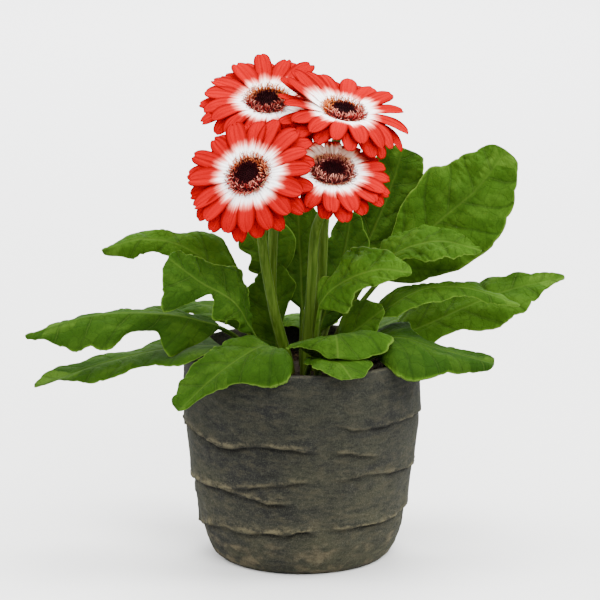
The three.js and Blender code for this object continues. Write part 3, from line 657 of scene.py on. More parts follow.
def stem_material():
    # marks: share of the way up, ridge, cup, chance
    p = Paint("stem", Roughness=0.55, Specular_IOR_Level=0.03)
    up, ridge, cup, luck = p.marks()
    streak = p.noise(p.scaled_place(0.05), 520, 4, 0.6)
    body = p.layers(
        rgb(38, 58, 10),
        (p.step(streak, 0.35, 0.68), rgb(62, 81, 26)),
        (ridge * 0.08, rgb(83, 96, 43)),
        (p.step(up, 0.16, 0.0, 0.6), rgb(53, 33, 15)),
        (p.step(up, 0.82, 1.0, 0.4), rgb(88, 70, 41)),
        (cup * 0.85, p.mix(luck, rgb(36, 57, 17), rgb(64, 81, 31))))
    return p.finish(Base_Color=body, Normal=p.bump(streak, 0.15, 0.6))


def petal_material():
    # marks: mm from the bloom's centre, side from -1 to 1, chance, and shade plus 2 on the back
    p = Paint("petal", Roughness=0.75, Specular_IOR_Level=0.0)
    reach, side, luck, last = p.marks()
    back = last > 1.5
    streak = p.noise(p.vector(side * 2.6, reach * 0.03, luck * 60.0), 1.0, 4, 0.6)
    fine = p.noise(p.vector(side * 9.0, reach * 0.05, luck * 90.0), 1.0, 3, 0.6)
    edge = reach + (streak - 0.5) * 10.0 + (fine - 0.5) * 4.0 + (luck - 0.5) * 4.5 + abs(side) ** 2.0 * 2.5
    red = p.step(edge, 16.0, 28.0)
    colour = p.layers(
        (0.265, 0.0003, 0.002, 1),
        (p.step(fine, 0.4, 0.72), (0.17, 0.0002, 0.0013, 1)),
        (p.step(luck, 0.0, 1.0, 0.4), (0.32, 0.0006, 0.003, 1)),
        # painted shade: each petal darkens towards its sides, where the petals overlap
        (p.step(abs(side), 0.6, 1.0, 0.85), (0.11, 0.0002, 0.001, 1)))
    front = p.layers(
        (0.96, 0.945, 0.94, 1),
        (p.step(fine, 0.4, 0.8, 0.12), (0.85, 0.58, 0.54, 1)),
        (p.step(reach, 15.0, 11.5), rgb(196, 150, 110)),
        (p.step(red, 0.0, 0.55), (0.72, 0.17, 0.13, 1)),
        (p.step(red, 0.35, 0.95), colour))
    front = p.mix(last - back * 2.0, front, (0.95, 0.8, 0.62, 1), "MULTIPLY")
    behind = p.mix(p.step(edge, 16.0, 34.0), rgb(206, 150, 112), (0.5, 0.06, 0.04, 1))
    height = p.math("COSINE", side * 12.5) * 0.5 + fine * 0.7
    return p.finish(Base_Color=p.mix(back, front, behind), Normal=p.bump(height, 0.4, 0.8))


def disc_material():
    # marks: colour
    p = Paint("disc", Roughness=0.65, Specular_IOR_Level=0.03)
    grain = p.noise(p.place(), 2500, 3, 0.6)
    colour = p.mix(p.step(grain, 0.35, 0.85, 0.35), p.attribute("Color"), rgb(30, 8, 8))
    return p.finish(Base_Color=colour, Normal=p.bump(grain, 0.1, 0.6))


# ------------ pot

POT_AROUND = 320
POT_OUTER_ROWS = 240
FOOT_EDGE = [0.0, 0.6, 1.4, 2.5]
RIM_RADIUS = POT_PROFILE[-1][1]
# The lip: how far inwards of the rim's edge, and how far above it.
LIP = [(0.5, -0.35), (1.4, 0), (2.8, 0.1), (4.2, 0), (5.2, -0.6)]
UNEVEN_ROWS = slice(1, 8)  # the rows of the lip and the inside that are a little out of round
FLOOR_ROUNDING = 5
FOLD_ABOVE = 8.0
FOLD_BELOW = 4.0
# The raised ledges: for each, how far it stands out, how wide its worn crest is, and its height at angles
# round the pot.
RIDGES = [
    (2.0, 1.7, [(-205, 88), (-180, 89), (-161, 89.5), (-149, 88.3), (-142, 86), (-135, 85), (-127, 85),
                (-118, 87), (-106, 88.3), (-93, 87), (-86, 84.5)]),
    (1.7, 1.0, [(-74, 101), (-66, 97.5), (-58, 96.5), (-44, 97.5), (-24, 96.5), (-6, 95), (45, 93), (100, 89),
                (150, 88)]),
    (1.1, 0.8, [(-74, 84), (-66, 83.3), (-58, 80), (-49, 77.5)]),
    (1.9, 1.6, [(-190, 53), (-168, 54.5), (-150, 56), (-130, 56), (-121, 54.5), (-108, 51), (-98, 51.5)]),
    (1.4, 1.0, [(-126, 58), (-114, 61), (-97, 64.5), (-88, 65.5)]),
    (1.9, 1.1, [(-74, 66), (-68, 66), (-62, 67.5), (-57, 68), (-47, 66), (-35, 64.5), (-23, 63), (-8, 60.5),
                (40, 59), (90, 56), (135, 54), (165, 53)]),
    (2.2, 2.0, [(-185, 21), (-175, 21.5), (-152, 27.5), (-139, 29.5), (-109, 30.5), (-83, 32.5)]),
    (2.0, 1.6, [(-76, 32.5), (-42, 32.5), (-29, 32.5), (-20, 34), (30, 33), (90, 29), (140, 25), (170, 22)]),
    (0.8, 1.0, [(10, 123), (90, 125), (150, 122)]),
    (0.9, 1.0, [(10, 44), (30, 40), (55, 42)]),
    (1.0, 1.2, [(60, 106), (110, 102), (140, 104)]),
    (0.9, 1.0, [(85, 74), (120, 70), (170, 72)]),
    (0.9, 1.0, [(100, 42), (140, 39), (185, 41)]),
]


def fold_relief(d, wide):
    """How far a fold stands out d mm above its crest's middle, its crest and the shadow under it."""
    low = d + wide
    above = np.exp(-np.maximum(low, 0) / FOLD_ABOVE)
    below = -0.7 * np.exp(np.minimum(low, 0) / FOLD_BELOW)
    out = lerp(below, above, smooth((low + 0.6) / 1.1))
    under = np.maximum(bell((low + 1.3) / (0.6 + 0.6 * wide)), 0.5 * np.exp(low / 3.5) * (low < -1.1))
    return out, bell(d / wide), under


def pot_outside():
    """The rings of the pot's outside, from its base up, and their marks."""
    angle = turns(POT_AROUND)
    heights = np.concatenate([FOOT_EDGE, np.linspace(3.2, POT_HEIGHT - 1.2, POT_OUTER_ROWS)])
    z = heights[:, None]
    around = polar(1.0, angle, 0.0)
    spot = polar(70.0, angle, z)
    grit = noise(spot / [2.6, 2.6, 1.5], 50)
    out, crest, under = np.zeros((3, len(heights), POT_AROUND))
    for k, (depth, wide, line) in enumerate(RIDGES):
        angles, levels = np.array(line, float).T
        turn = (np.degrees(angle) - angles[0] + 15) % 360 + angles[0] - 15
        level = np.interp(turn, angles, levels)
        level = level + 0.5 * noise(around * 7, 30 + k) + 0.45 * noise(around * 19, 60 + k)
        fade = smooth((turn - angles[0] + 5) / 12) * smooth((angles[-1] + 5 - turn) / 12)
        uneven = 0.9 + 0.45 * noise(around * 3.2, 90 + k) + 0.35 * noise(around * 11, 20 + k)
        strong = fade * np.clip(uneven, 0.4, 1.15)
        worn = wide * np.clip(1 + 0.9 * noise(around * 6, 40 + k), 0.45, 1.6)
        fold, top, dark = fold_relief(z - level, worn)
        out += depth * strong * fold + 0.5 * top * fade * grit
        crest = np.maximum(crest, top * strong * min(1, 0.3 + 0.4 * wide))
        under = np.maximum(under, dark * strong * min(1, 0.35 + 0.35 * depth))
    patch = 0.3 + 0.6 * noise(spot / [11, 11, 5], 3) + 0.6 * noise(spot / [4.2, 4.2, 2.2], 4)
    patch = patch * np.clip(0.3 + 0.4 * crest + smooth((30 - z) / 22), 0, 1)
    out += 0.4 * noise(spot / [14, 14, 10], 1) + 0.22 * noise(spot / [4.5, 4.5, 2.2], 2)
    keep = smooth(z / 5) * smooth((POT_HEIGHT + 1 - z) / 6)
    base = np.interp(z, *np.array(POT_PROFILE).T)
    return polar(base + out * keep, angle, z), stack(crest * keep, under * keep, patch, z / POT_HEIGHT)


def inside_radius(height):
    """The pot's inner radius at a height, on a straight taper from the rim down."""
    (low_height, low), (top_height, top) = POT_PROFILE[3], POT_PROFILE[-1]
    return lerp(low, top, (height - low_height) / (top_height - low_height)) - POT_WALL


def make_pot(material):
    outside, marks = pot_outside()
    lip = [(RIM_RADIUS - inwards, POT_HEIGHT + up) for inwards, up in LIP]
    levels = [*np.linspace(POT_HEIGHT - 2, SOIL_TOP + 4, 4),
              *np.linspace(SOIL_TOP - 4, POT_FLOOR + FLOOR_ROUNDING, 5)]
    wall = [(inside_radius(z), z) for z in levels]
    floor = [(inside_radius(POT_FLOOR) - FLOOR_ROUNDING, POT_FLOOR), (30, POT_FLOOR), (8, POT_FLOOR)]
    radius, z = np.array(lip + wall + floor).T[..., None]
    angle = turns(POT_AROUND)
    uneven = np.zeros_like(radius)
    uneven[UNEVEN_ROWS] = 0.35
    inner = polar(radius + uneven * noise(polar(3.0, angle, 0.0), 8), angle, z)
    foot = turned([(6, 0), (30, 0), (50, 0)], POT_AROUND)
    marks = [0 * foot[..., [0] * 4], marks, 0 * inner[..., [0] * 4] + [0, 0, 0.35, 0]]
    form = Form()
    form.lofts(np.concatenate([foot, outside, inner]), [0, 0, 0], [0, 0, POT_FLOOR], np.concatenate(marks))
    form.piece("pot_clay", "pot", "clay", material)


# ------------ soil and crown

SOIL_AROUND = 160
CRUMBS = 800
CROWN_AROUND = 96
CROWN_HAIRS = 1500
CROWN_HAIR_LENGTH = 3.2


def lumps(form, centres, sizes, seed, marks):
    """Rough little lumps, each a squashed and dented ball of few faces."""
    k, sides = len(centres), 6
    width, height = np.array([(0.75, -0.6), (1.0, 0.0), (0.7, 0.6)]).T[..., None]
    dent = 0.7 + 0.5 * chance(np.arange(k * 3 * sides).reshape(k, 3, sides), seed)
    i = np.arange(k)[:, None, None]
    turn = turns(sides) + chance(i, seed + 1) * 6
    x = np.cos(turn) * width * dent
    y = np.sin(turn) * width * dent * (0.6 + 0.5 * chance(i, seed + 2))
    z = height * (0.6 + 0.4 * chance(i, seed + 3))
    rings = centres[:, None, None] + sizes[:, None, None, None] * stack(x, y, z)
    cap = stack(0, 0, 0.75 * sizes)
    form.lofts(rings, centres - cap, centres + cap, marks)


def on_soil(radius, angle):
    """Points of the soil's surface."""
    spot = polar(radius, angle, 0.0)
    rise = 1.1 * noise(spot / 9, 11) + 0.6 * noise(spot / 3.5, 12) + 0.4 * noise(spot / 1.6, 13)
    spot[..., 2] = SOIL_TOP - 0.2 + rise
    return spot


def make_soil(material):
    hole = CROWN_RADIUS + GAP
    outer = inside_radius(SOIL_TOP - 2) - GAP
    floor = POT_FLOOR + GAP
    side = [(inside_radius(z) - GAP, z) for z in np.linspace(100, floor + FLOOR_ROUNDING, 8)]
    bottom = [(inside_radius(POT_FLOOR) - FLOOR_ROUNDING - GAP, floor), (10, floor)]
    rings = [*turned([(hole, CROWN_BOTTOM - GAP), (hole, SOIL_TOP - 3)], SOIL_AROUND),
             *on_soil(np.linspace(hole + 0.4, outer - 0.5, 34)[:, None], turns(SOIL_AROUND)),
             *turned([(outer, SOIL_TOP - 2.5), *side, *bottom], SOIL_AROUND)]
    form = Form()
    form.lofts(rings, [0, 0, CROWN_BOTTOM - GAP], [0, 0, floor], 0.0)
    i = np.arange(CRUMBS)
    size = 0.5 + 1.7 * chance(i, 23) ** 3
    radius = np.sqrt(lerp((hole + 2.5) ** 2, (outer - 2) ** 2, chance(i, 21)))
    centres = on_soil(radius, 2 * np.pi * chance(i, 22)) + stack(0, 0, 0.3 * size)
    lumps(form, centres, size, 25, chance(i, 24)[:, None, None, None])
    form.piece("soil_mix", "soil", "soil", material)


def make_crown(material):
    sunk = [(8, CROWN_BOTTOM), (CROWN_RADIUS - 2, CROWN_BOTTOM), (CROWN_RADIUS, CROWN_BOTTOM + 3),
            (CROWN_RADIUS, SOIL_TOP - 1)]
    radius = np.linspace(CROWN_RADIUS - 0.6, 1.5, 24)[:, None]
    top = polar(radius, turns(CROWN_AROUND), 0.0)
    rise = lerp(SOIL_TOP, CROWN_TOP, smooth((CROWN_RADIUS - radius) / 6))
    top[..., 2] = rise + 0.8 * noise(top / 4, 31) + 0.5 * noise(top / 1.7, 32) - 0.6
    form = Form()
    form.lofts([*turned(sunk, CROWN_AROUND), *top], [0, 0, CROWN_BOTTOM], [0, 0, CROWN_TOP - 0.3], 0.0)
    i = np.arange(CROWN_HAIRS)
    radius = (CROWN_RADIUS - 1) * np.sqrt(chance(i, 33))
    height = CROWN_TOP - 1.4 - 2.0 * smooth((radius - CROWN_RADIUS + 6) / 6)
    ways = unit(stack(chance(i, 35) - 0.5, chance(i, 36) - 0.5, 0.5))
    roots = polar(radius, 2 * np.pi * chance(i, 34), height)
    hairs(form, roots, ways, CROWN_HAIR_LENGTH, [0.15, 0, 0, 0], 37)
    form.piece("crown_mound", "crown", "crown", material)


# ------------ leaves

BLADE_ROWS = 110
STALK_ROWS = 18
HALF_ACROSS = np.array([0.03, 0.07, 0.12, 0.18, 0.25, 0.33, 0.41, 0.49, 0.57, 0.65, 0.73, 0.81, 0.88, 0.94,
                        0.98, 1])
ACROSS = np.concatenate([-HALF_ACROSS[::-1], [0], HALF_ACROSS])
BLADE_HALF = 0.32
VEIN_SPACING = 20.0
LOBE_DEPTH = 3.2
# The top's tone at the blade's edge: a painted highlight, for light shining through the thin edge.
LIT_EDGE_TONE = 1.2
# Where leaves pass closely by each other or the rim, they are left almost smooth for this far round.
CLOSE_SPOTS = [[-76, -28, 135], [31, 1, 159], [52, -50, 132], [33, -63, 139]]
CLOSE_RADIUS = 20.0


def half_width(index, leaf, side, u, blade_length):
    """How wide a blade is on its left (side 0) or right (1), with its lobes and small uneven teeth."""
    given = leaf[("left", "right")[side]]
    steps = len(given) + 1
    tip = leaf["blunt"] * given[-1]
    xs = [*np.arange(steps) / steps, 1 - 0.35 / steps, 1 - 0.12 / steps, 1]
    width = eased(xs, [NECK_RADIUS, *given, tip, 0.62 * tip, 0], u)
    seed = 7 * index + side
    mm = u * blade_length
    teeth = 0.5 * noise_line(mm / 6, seed) + 0.25 * noise_line(mm / 2.4, seed + 50)
    count = (mm - 0.63 * width - 0.006 * width**2) / VEIN_SPACING + 0.5 * (1 - side)
    count = count + 0.22 * noise_line(mm / 21, seed + 20)
    uneven = np.clip(0.55 + 0.8 * noise_line(count * 0.9, seed + 35), 0.1, 1.2)
    lobe = 0.3 - LOBE_DEPTH * uneven * (1 - np.abs(np.sin(np.pi * count)) ** 0.6)
    return width + smooth((width - 5) / 9) * smooth(u * 7) * smooth((1 - u) * 6) * (lobe + teeth)


def make_leaf(index, leaf, material):
    """A stalk and its blade. Arrays are rows along the leaf by points across it.

    p runs from 0 to 1 along the stalk, u along the blade, and a from the midrib to the edge."""
    blade, pucker = leaf["blade"], leaf["pucker"]
    curve = stalk_curve(leaf["foot"], leaf["rib"])
    start = 0.4 * (FOOT_TOP - FOOT_BOTTOM) / curve.length
    blade_rows = 1 - (1 - np.arange(BLADE_ROWS) / BLADE_ROWS) ** 1.15
    stalk_rows = np.linspace(start, blade, STALK_ROWS, endpoint=False)
    shares = np.concatenate([stalk_rows, lerp(blade, 1, blade_rows * 0.998)])[:, None]
    u = np.clip((shares - blade) / (1 - blade), 0, 1)
    p = np.clip(shares / blade, 0, 1)
    grown = smooth(u * (len(leaf["left"]) + 1))
    roll = np.radians(np.where(p < 1, leaf["roll"][0] * smooth(p), lerp(*leaf["roll"], u)))

    heading = np.subtract(leaf["rib"][-1][:2], leaf["foot"])
    rightward = unit(np.cross([*heading, 0.0], [0, 0, 1.0]))
    along = curve.along(shares)
    flat = unit(rightward - along * (along @ rightward)[..., None])
    right = spun(flat, np.cross(flat, along), roll)
    up = np.cross(right, along)

    a = np.abs(ACROSS)
    side = (ACROSS > 0).astype(int)
    stalk = lerp(PETIOLE_RADIUS, NECK_RADIUS, p)
    widths = [half_width(index, leaf, k, u, (1 - blade) * curve.length) for k in (0, 1)]
    half = np.where(u > 0, np.concatenate(widths, 1), stalk)[:, side] * a
    fold = np.radians(np.array(leaf["fold"])[side] + np.array(leaf["curl"])[side] * a**2) * grown
    mm_along = (shares - blade) * curve.length + SWEEP * half
    mm_across = np.sign(ACROSS) * half
    veins = (mm_along - 0.75 * half - 0.006 * half**2) / VEIN_SPACING
    drift = stack(mm_along, np.abs(mm_across), 9.0 * index + 40.0 * side)
    veins = veins + 0.16 * noise(drift / [19, 15, 1], 44)

    # the blade waves at its edges, bulges between its veins and is a little uneven everywhere
    at = stack(mm_along, mm_across, 3.1 * index)
    wave = 3.0 * noise(at / [22, 60, 1], 41) + 1.7 * noise(at / [8, 30, 1], 42)
    swell = 1.6 * noise(at / [25, 17, 1], 46) * smooth(a / 0.25) * smooth(half / 9)
    bulge = np.abs(np.sin(np.pi * (veins + 0.5 * (ACROSS < 0) - 0.5))) ** 0.8 - 0.6
    between = smooth(a / 0.16) * smooth((1 - a) / 0.12)
    crease = (1 - np.abs(noise(at / [4.6, 4.2, 1], 45))) ** 4 - 0.3
    rise = grown * (wave * a**2 * 0.8 + swell + pucker * 1.15 * bulge * between * smooth(half / 9)
                    + pucker * noise(at / [9, 9, 1], 43) * smooth(half / 6)
                    - 1.35 * (pucker - 0.5) * crease * smooth(half / 5))

    middle = (curve.at(shares) + right * (mm_across * np.cos(fold))[..., None]
              + up * (half * np.sin(fold))[..., None] + along * (SWEEP * half * grown)[..., None])
    for spot in CLOSE_SPOTS:
        away = np.linalg.norm(middle - np.array(spot), axis=-1)
        rise = rise * lerp(0.1, 1, smooth(away / CLOSE_RADIUS - 0.3))
    middle = middle + up * rise[..., None]
    round_stalk = stalk * np.sqrt(np.clip(1 - a**2, 0, 1))
    sheet = BLADE_HALF * smooth((1 - a) / 0.06)
    groove = -0.4 * bell(half / 0.8) * grown * smooth((1 - u) * 4)
    keel = 1.5 * bell(half / 1.3) * (1 - 0.85 * u)
    upper = middle + up * lerp(round_stalk * 0.75, sheet + groove, grown)[..., None]
    lower = middle - up * lerp(round_stalk, sheet + keel, grown)[..., None]

    # a painted highlight: the top's tone rises to the edge tone in a thin strip along the blade's edge
    edge = smooth((a - 0.95) / 0.04) * (u > 0.02)
    top = stack(mm_along, mm_across, veins, lerp(leaf["tone_and_shade"], LIT_EDGE_TONE, edge))
    bottom = stack(mm_along, mm_across, veins, leaf["tone_and_shade"] + 2)
    form = Form()
    form.lofts(closed(upper, lower), curve.at(start * 0.6), curve.at(1.0), closed(top, bottom))
    form.piece("foliage_" + leaf["name"], "leaf_" + leaf["name"], "leaf", material)


# ------------ blooms

# Each layer of petals: its share of the bloom's radius, its height on the hub, how many degrees its petals
# rise at the hub and at the tip, how far it is turned, in petals, and how wide they are.
PETAL_LAYERS = [(1.0, -0.7, 6, -24, 0.0, 12.2), (0.94, 0.3, 14, -16, 0.5, 12.4)]
PETALS = 16
PETAL_ROWS = 26
PETAL_ACROSS = np.linspace(-1, 1, 13)
PETAL_THICK = 0.28
HUB_AROUND = 64
HUB_PROFILE = [(5, HUB_BOTTOM), (HUB_RADIUS - 0.8, HUB_BOTTOM), (HUB_RADIUS, HUB_BOTTOM + 0.8),
               (HUB_RADIUS, HUB_TOP - 0.6), (HUB_RADIUS - 0.6, HUB_TOP), (5, HUB_TOP)]
DISC_BASE = HUB_TOP + GAP
CUSHION_AROUND = 48
CUSHION = [(4, 0), (HUB_RADIUS - 1.3, 0), (HUB_RADIUS - 0.4, 0.7), (HUB_RADIUS - 1.2, 1.2), (10, 1.5),
           (7.5, 1.2), (5, 1.1), (2, 1.2)]
# Each ring of florets: how many, radius, height, length, lean outwards, thickness, how light the tips are.
FLORET_RINGS = [(84, 12.0, 0.6, 3.6, 1.25, 0.19, 0.2), (78, 11.4, 0.8, 4.5, 0.85, 0.2, 0.6),
                (70, 10.6, 1.1, 4.8, 0.45, 0.2, 1.0), (60, 9.8, 1.1, 3.8, 0.1, 0.21, 0.9),
                (48, 8.9, 1.2, 2.9, -0.1, 0.22, 0.3)]
FLORET_SWELL = np.array([1.1, 1.1, 1.0, 0.95, 0.9, 0.95, 1.05, 0.7])
FLORET_SIDES = 6
BUDS = 130
BUD_FIELD = 8.3
GOLDEN_ANGLE = math.pi * (3 - math.sqrt(5))
STEM_ROWS = 120
STEM_AROUND = 28
STEM_HAIRS = 1100
STEM_HAIR_LENGTH = 0.9
CUP_TOP = HUB_BOTTOM - GAP
# The cup: how deep below its top each ring lies, and its radius.
CUP = [(13, 3.1), (12, 4.4), (10.5, 6.7), (8, 8.8), (5, 10.1), (2, 11.0), (0, 11.3)]
# Each row of bracts up the cup: how many, from and to which depth, and how wide.
BRACT_ROWS = [(13, 12.6, 4.0, 4.6), (15, 10.8, 1.5, 4.4), (17, 8.0, 0.2, 4.0)]


def bloom_axes(bloom):
    """Right, up and outwards, as the bloom faces."""
    out = unit(bloom["facing"])
    up = unit(np.array([0, 0, 1.0]) - out * out[2])
    return np.array([np.cross(up, out), up, out])


def to_world(bloom, local):
    return np.asarray(local, float) @ bloom_axes(bloom) + bloom["centre"]


def bloom_lofts(form, bloom, rings, first, last, marks):
    form.lofts(*(to_world(bloom, points) for points in (rings, first, last)), marks)


def add_petals(form, bloom, number, layer):
    """One layer of petals. Arrays are petals by rows along them by points across.

    t runs from 0 at the hub to 1 at the tip, v from -1 to 1 across."""
    share, height, leave, end, turn, wide = layer
    each = np.arange(PETALS)[:, None, None]
    i = each + 40 * number + bloom["radius"]
    angle = 2 * np.pi * (each + turn) / PETALS + (chance(i, 1) - 0.5) * 0.14
    leave = leave + (chance(i, 2) - 0.5) * 4
    end = end + (chance(i, 3) - 0.5) * 10
    for bend in bloom["bends"]:
        near = np.maximum(0, np.cos(angle - math.radians(bend["side"]))) ** bend["narrow"]
        leave = leave + bend["lift"] * near
        end = end - bend["droop"] * near
    start = HUB_RADIUS - 2.5
    length = (bloom["radius"] * share - start) * (0.94 + 0.12 * chance(i, 4))
    t = (np.arange(PETAL_ROWS)[:, None] / PETAL_ROWS) ** 0.92
    t = t / t[-1] * 0.985
    slope = np.radians(lerp(leave, end, t))
    steps = np.diff(t, axis=0, prepend=0) * length
    reach = start + np.cumsum(steps * np.cos(slope), 1)
    rise = height + np.cumsum(steps * np.sin(slope), 1)
    tip = np.sqrt(np.clip(1 - np.clip((t - 0.56) / 0.44, 0, 1) ** (2.2 + 1.6 * chance(i, 16)), 0, 1))
    half = 0.5 * wide * (0.9 + 0.2 * chance(i, 6)) * (0.52 + 0.48 * smooth(t / 0.6)) * tip

    v = PETAL_ACROSS
    a = np.abs(v)
    notch = (0.3 + 1.5 * chance(i, 7) ** 3) * smooth((t - 0.8) / 0.2) * (1 - a) ** 1.5
    lean = (chance(i, 8) - 0.5) * 4 * t**2
    cup = (chance(i, 9) - 0.35) * 0.24 * half * (2 * a**2 - 0.6) * smooth(t / 0.3)
    ruffle = 0.5 * noise(stack(t * 4, v * 1.3, i * 1.7), 5) * smooth(t / 0.4)
    furrow = -0.24 * bell((a - 0.34) / 0.12) * smooth(t / 0.25)
    twist = np.tan(np.radians((chance(i, 5) - 0.5) * 10)) * v * half * smooth(t)
    thin = PETAL_THICK * smooth((1 - a) / 0.25) * (0.5 + 0.5 * smooth((1 - t) / 0.2))
    z = rise + cup + ruffle + furrow + twist
    faces = [polar(reach - notch, angle, z + lift, v * half + lean) for lift in (thin, -thin)]
    tips = polar(reach - notch + 0.006 * length, angle, rise + ruffle, lean)[:, -1, len(v) // 2]
    roots = polar(start - 0.5, angle[:, 0, 0], height)

    _, _, shaded, nearer = BLOOM_LOOKS[bloom["name"]]
    shade = shaded * smooth((np.sin(angle) - 0.3) / 0.35)
    marks = [stack(reach - notch + nearer - 6 * shade, v, chance(i, 10), shade + more) for more in (0, 2)]
    bloom_lofts(form, bloom, closed(*faces), roots, tips, closed(*marks))


def make_petals(bloom, material):
    form = Form()
    hub = turned(HUB_PROFILE, HUB_AROUND)
    bloom_lofts(form, bloom, hub, [0, 0, HUB_BOTTOM], [0, 0, HUB_TOP], [12.0, 0, 0, 0])
    for number, layer in enumerate(PETAL_LAYERS):
        add_petals(form, bloom, number, layer)
    form.piece("ray_florets_" + bloom["name"], "petals_" + bloom["name"], "petal", material)


def add_florets(form, bloom, index, number, ring):
    """One ring of florets. Arrays are florets by points along them."""
    count, radius, z, long, lean, thick, light = ring
    each = np.arange(count)[:, None]
    i = each + 100 * number + 700 * index
    share = np.linspace(0, 1, len(FLORET_SWELL))
    angle = 2 * np.pi * (each + 0.9 * chance(i, 11)) / count
    tall = long * (0.75 + 0.5 * chance(i, 13))
    bend = lean + 0.7 * (chance(i, 14) - 0.5) + 1.1 * (chance(i, 15) - 0.6) * share**2
    out = radius + chance(i, 12) - 0.5 + tall * share * np.sin(bend)
    rise = DISC_BASE + z - 0.5 + tall * share * np.cos(bend)
    swing = angle + 0.8 * (chance(i, 16) - 0.5) * tall * share**2 / radius
    path = polar(out, swing, rise)
    shell = tubes(path, thick * FLORET_SWELL * (0.85 + 0.3 * chance(i, 17)), FLORET_SIDES)

    # a floret is dark at its root, then red, or orange on the upper side, with a pale tip
    orange, red, _, _ = BLOOM_LOOKS[bloom["name"]]
    above = (orange * smooth(0.45 + 0.9 * np.sin(angle)) * (0.6 + 0.4 * chance(i, 21)))[..., None]
    root = linear(26, 4, 5)
    body = lerp(root, lerp(linear(126, 18, 20), linear(164, 74, 16), above), red)
    tip = lerp(linear(212, 138, 118), linear(226, 140, 46), above)
    to_tip = smooth((share - 0.4) / 0.5) * light * smooth(chance(i, 18) / 0.8)
    tint = lerp(lerp(root, body, smooth((share - 0.02) / 0.3)[:, None]), tip, to_tip[..., None])
    tint = np.clip(tint * (0.6 + 0.8 * chance(i, 19))[..., None], 0, 1)
    marks = np.concatenate([tint, np.ones_like(tint[..., :1])], -1)[:, :, None]
    end = path[:, -1] + 0.35 * unit(path[:, -1] - path[:, -2])
    bloom_lofts(form, bloom, shell, path[:, 0], end, marks)


def add_buds(form, bloom, index):
    """Tight dark buds in the disc's middle, turned by the golden angle."""
    i = np.arange(BUDS)[:, None]
    radius = BUD_FIELD * np.sqrt((i + 0.5) / BUDS)
    tall = 1.5 + 1.5 * smooth((radius - 3.0) / 4) + 0.5 * chance(i, 20 + index)
    levels = np.array([0.0, 0.35, 0.7, 0.9])
    path = polar(radius, i * GOLDEN_ANGLE, DISC_BASE + 0.8 + tall * levels)
    shell = tubes(path, 0.43 * np.array([0.8, 1.0, 0.85, 0.45]) * np.ones((BUDS, 1)), FLORET_SIDES)
    light = (levels**3 * smooth((radius / BUD_FIELD - 0.4) / 0.6))[..., None]
    tint = lerp(np.array(rgb(22, 5, 8)), np.array(rgb(66, 9, 14)), light)
    marks = np.clip(tint * (0.6 + 0.8 * chance(i, 22))[..., None], 0, 1)[:, :, None]
    bloom_lofts(form, bloom, shell, path[:, 0], path[:, -1] + [0, 0, 0.2], marks)


def make_disc(index, bloom, material):
    form = Form()
    base = np.array([0, 0, DISC_BASE])
    cushion = turned(CUSHION, CUSHION_AROUND) + base
    bloom_lofts(form, bloom, cushion, base, base + [0, 0, 1.2], rgb(34, 5, 6))
    for number, ring in enumerate(FLORET_RINGS):
        add_florets(form, bloom, index, number, ring)
    add_buds(form, bloom, index)
    form.piece("disc_florets_" + bloom["name"], "disc_" + bloom["name"], "disc", material)


def add_bracts(form, bloom, index, row, bracts):
    """One row of narrow bracts. Arrays are bracts by rows up them (t) by points across (v)."""
    count, low, high, wide = bracts
    each = np.arange(count)[:, None, None]
    i = each + 30 * row + 300 * index
    angle = 2 * np.pi * (each + 0.5 * row + 0.3 * chance(i, 51)) / count
    t = np.linspace(0, 1, 9)[:, None]
    depth = lerp(low, high, t)
    depths, radii = np.array(CUP).T
    radius = np.interp(-depth, -depths, radii) + 0.35 + 0.55 * smooth((t - 0.55) / 0.45) + 0.15 * (2 - row)
    half = 0.5 * wide * np.sqrt(np.clip(np.sin(np.pi * (0.12 + 0.86 * t)), 0, 1))
    v = np.array([-1, -0.5, 0, 0.5, 1])
    face = radius * (1 - 0.02 * v**2)
    thick = 0.24 * (1 - 0.8 * v**2)
    spin = angle + half * v / radius
    rings = closed(*(polar(face + lift, spin, CUP_TOP - depth) for lift in (thick, -thick)))
    marks = stack(1.0, 0.0, 1.0, chance(i, 52) * (0.5 + 0.5 * t))
    past = np.array([0, 0, 0.3])
    bloom_lofts(form, bloom, rings, rings[:, 0].mean(1) - past, rings[:, -1].mean(1) + past, marks)


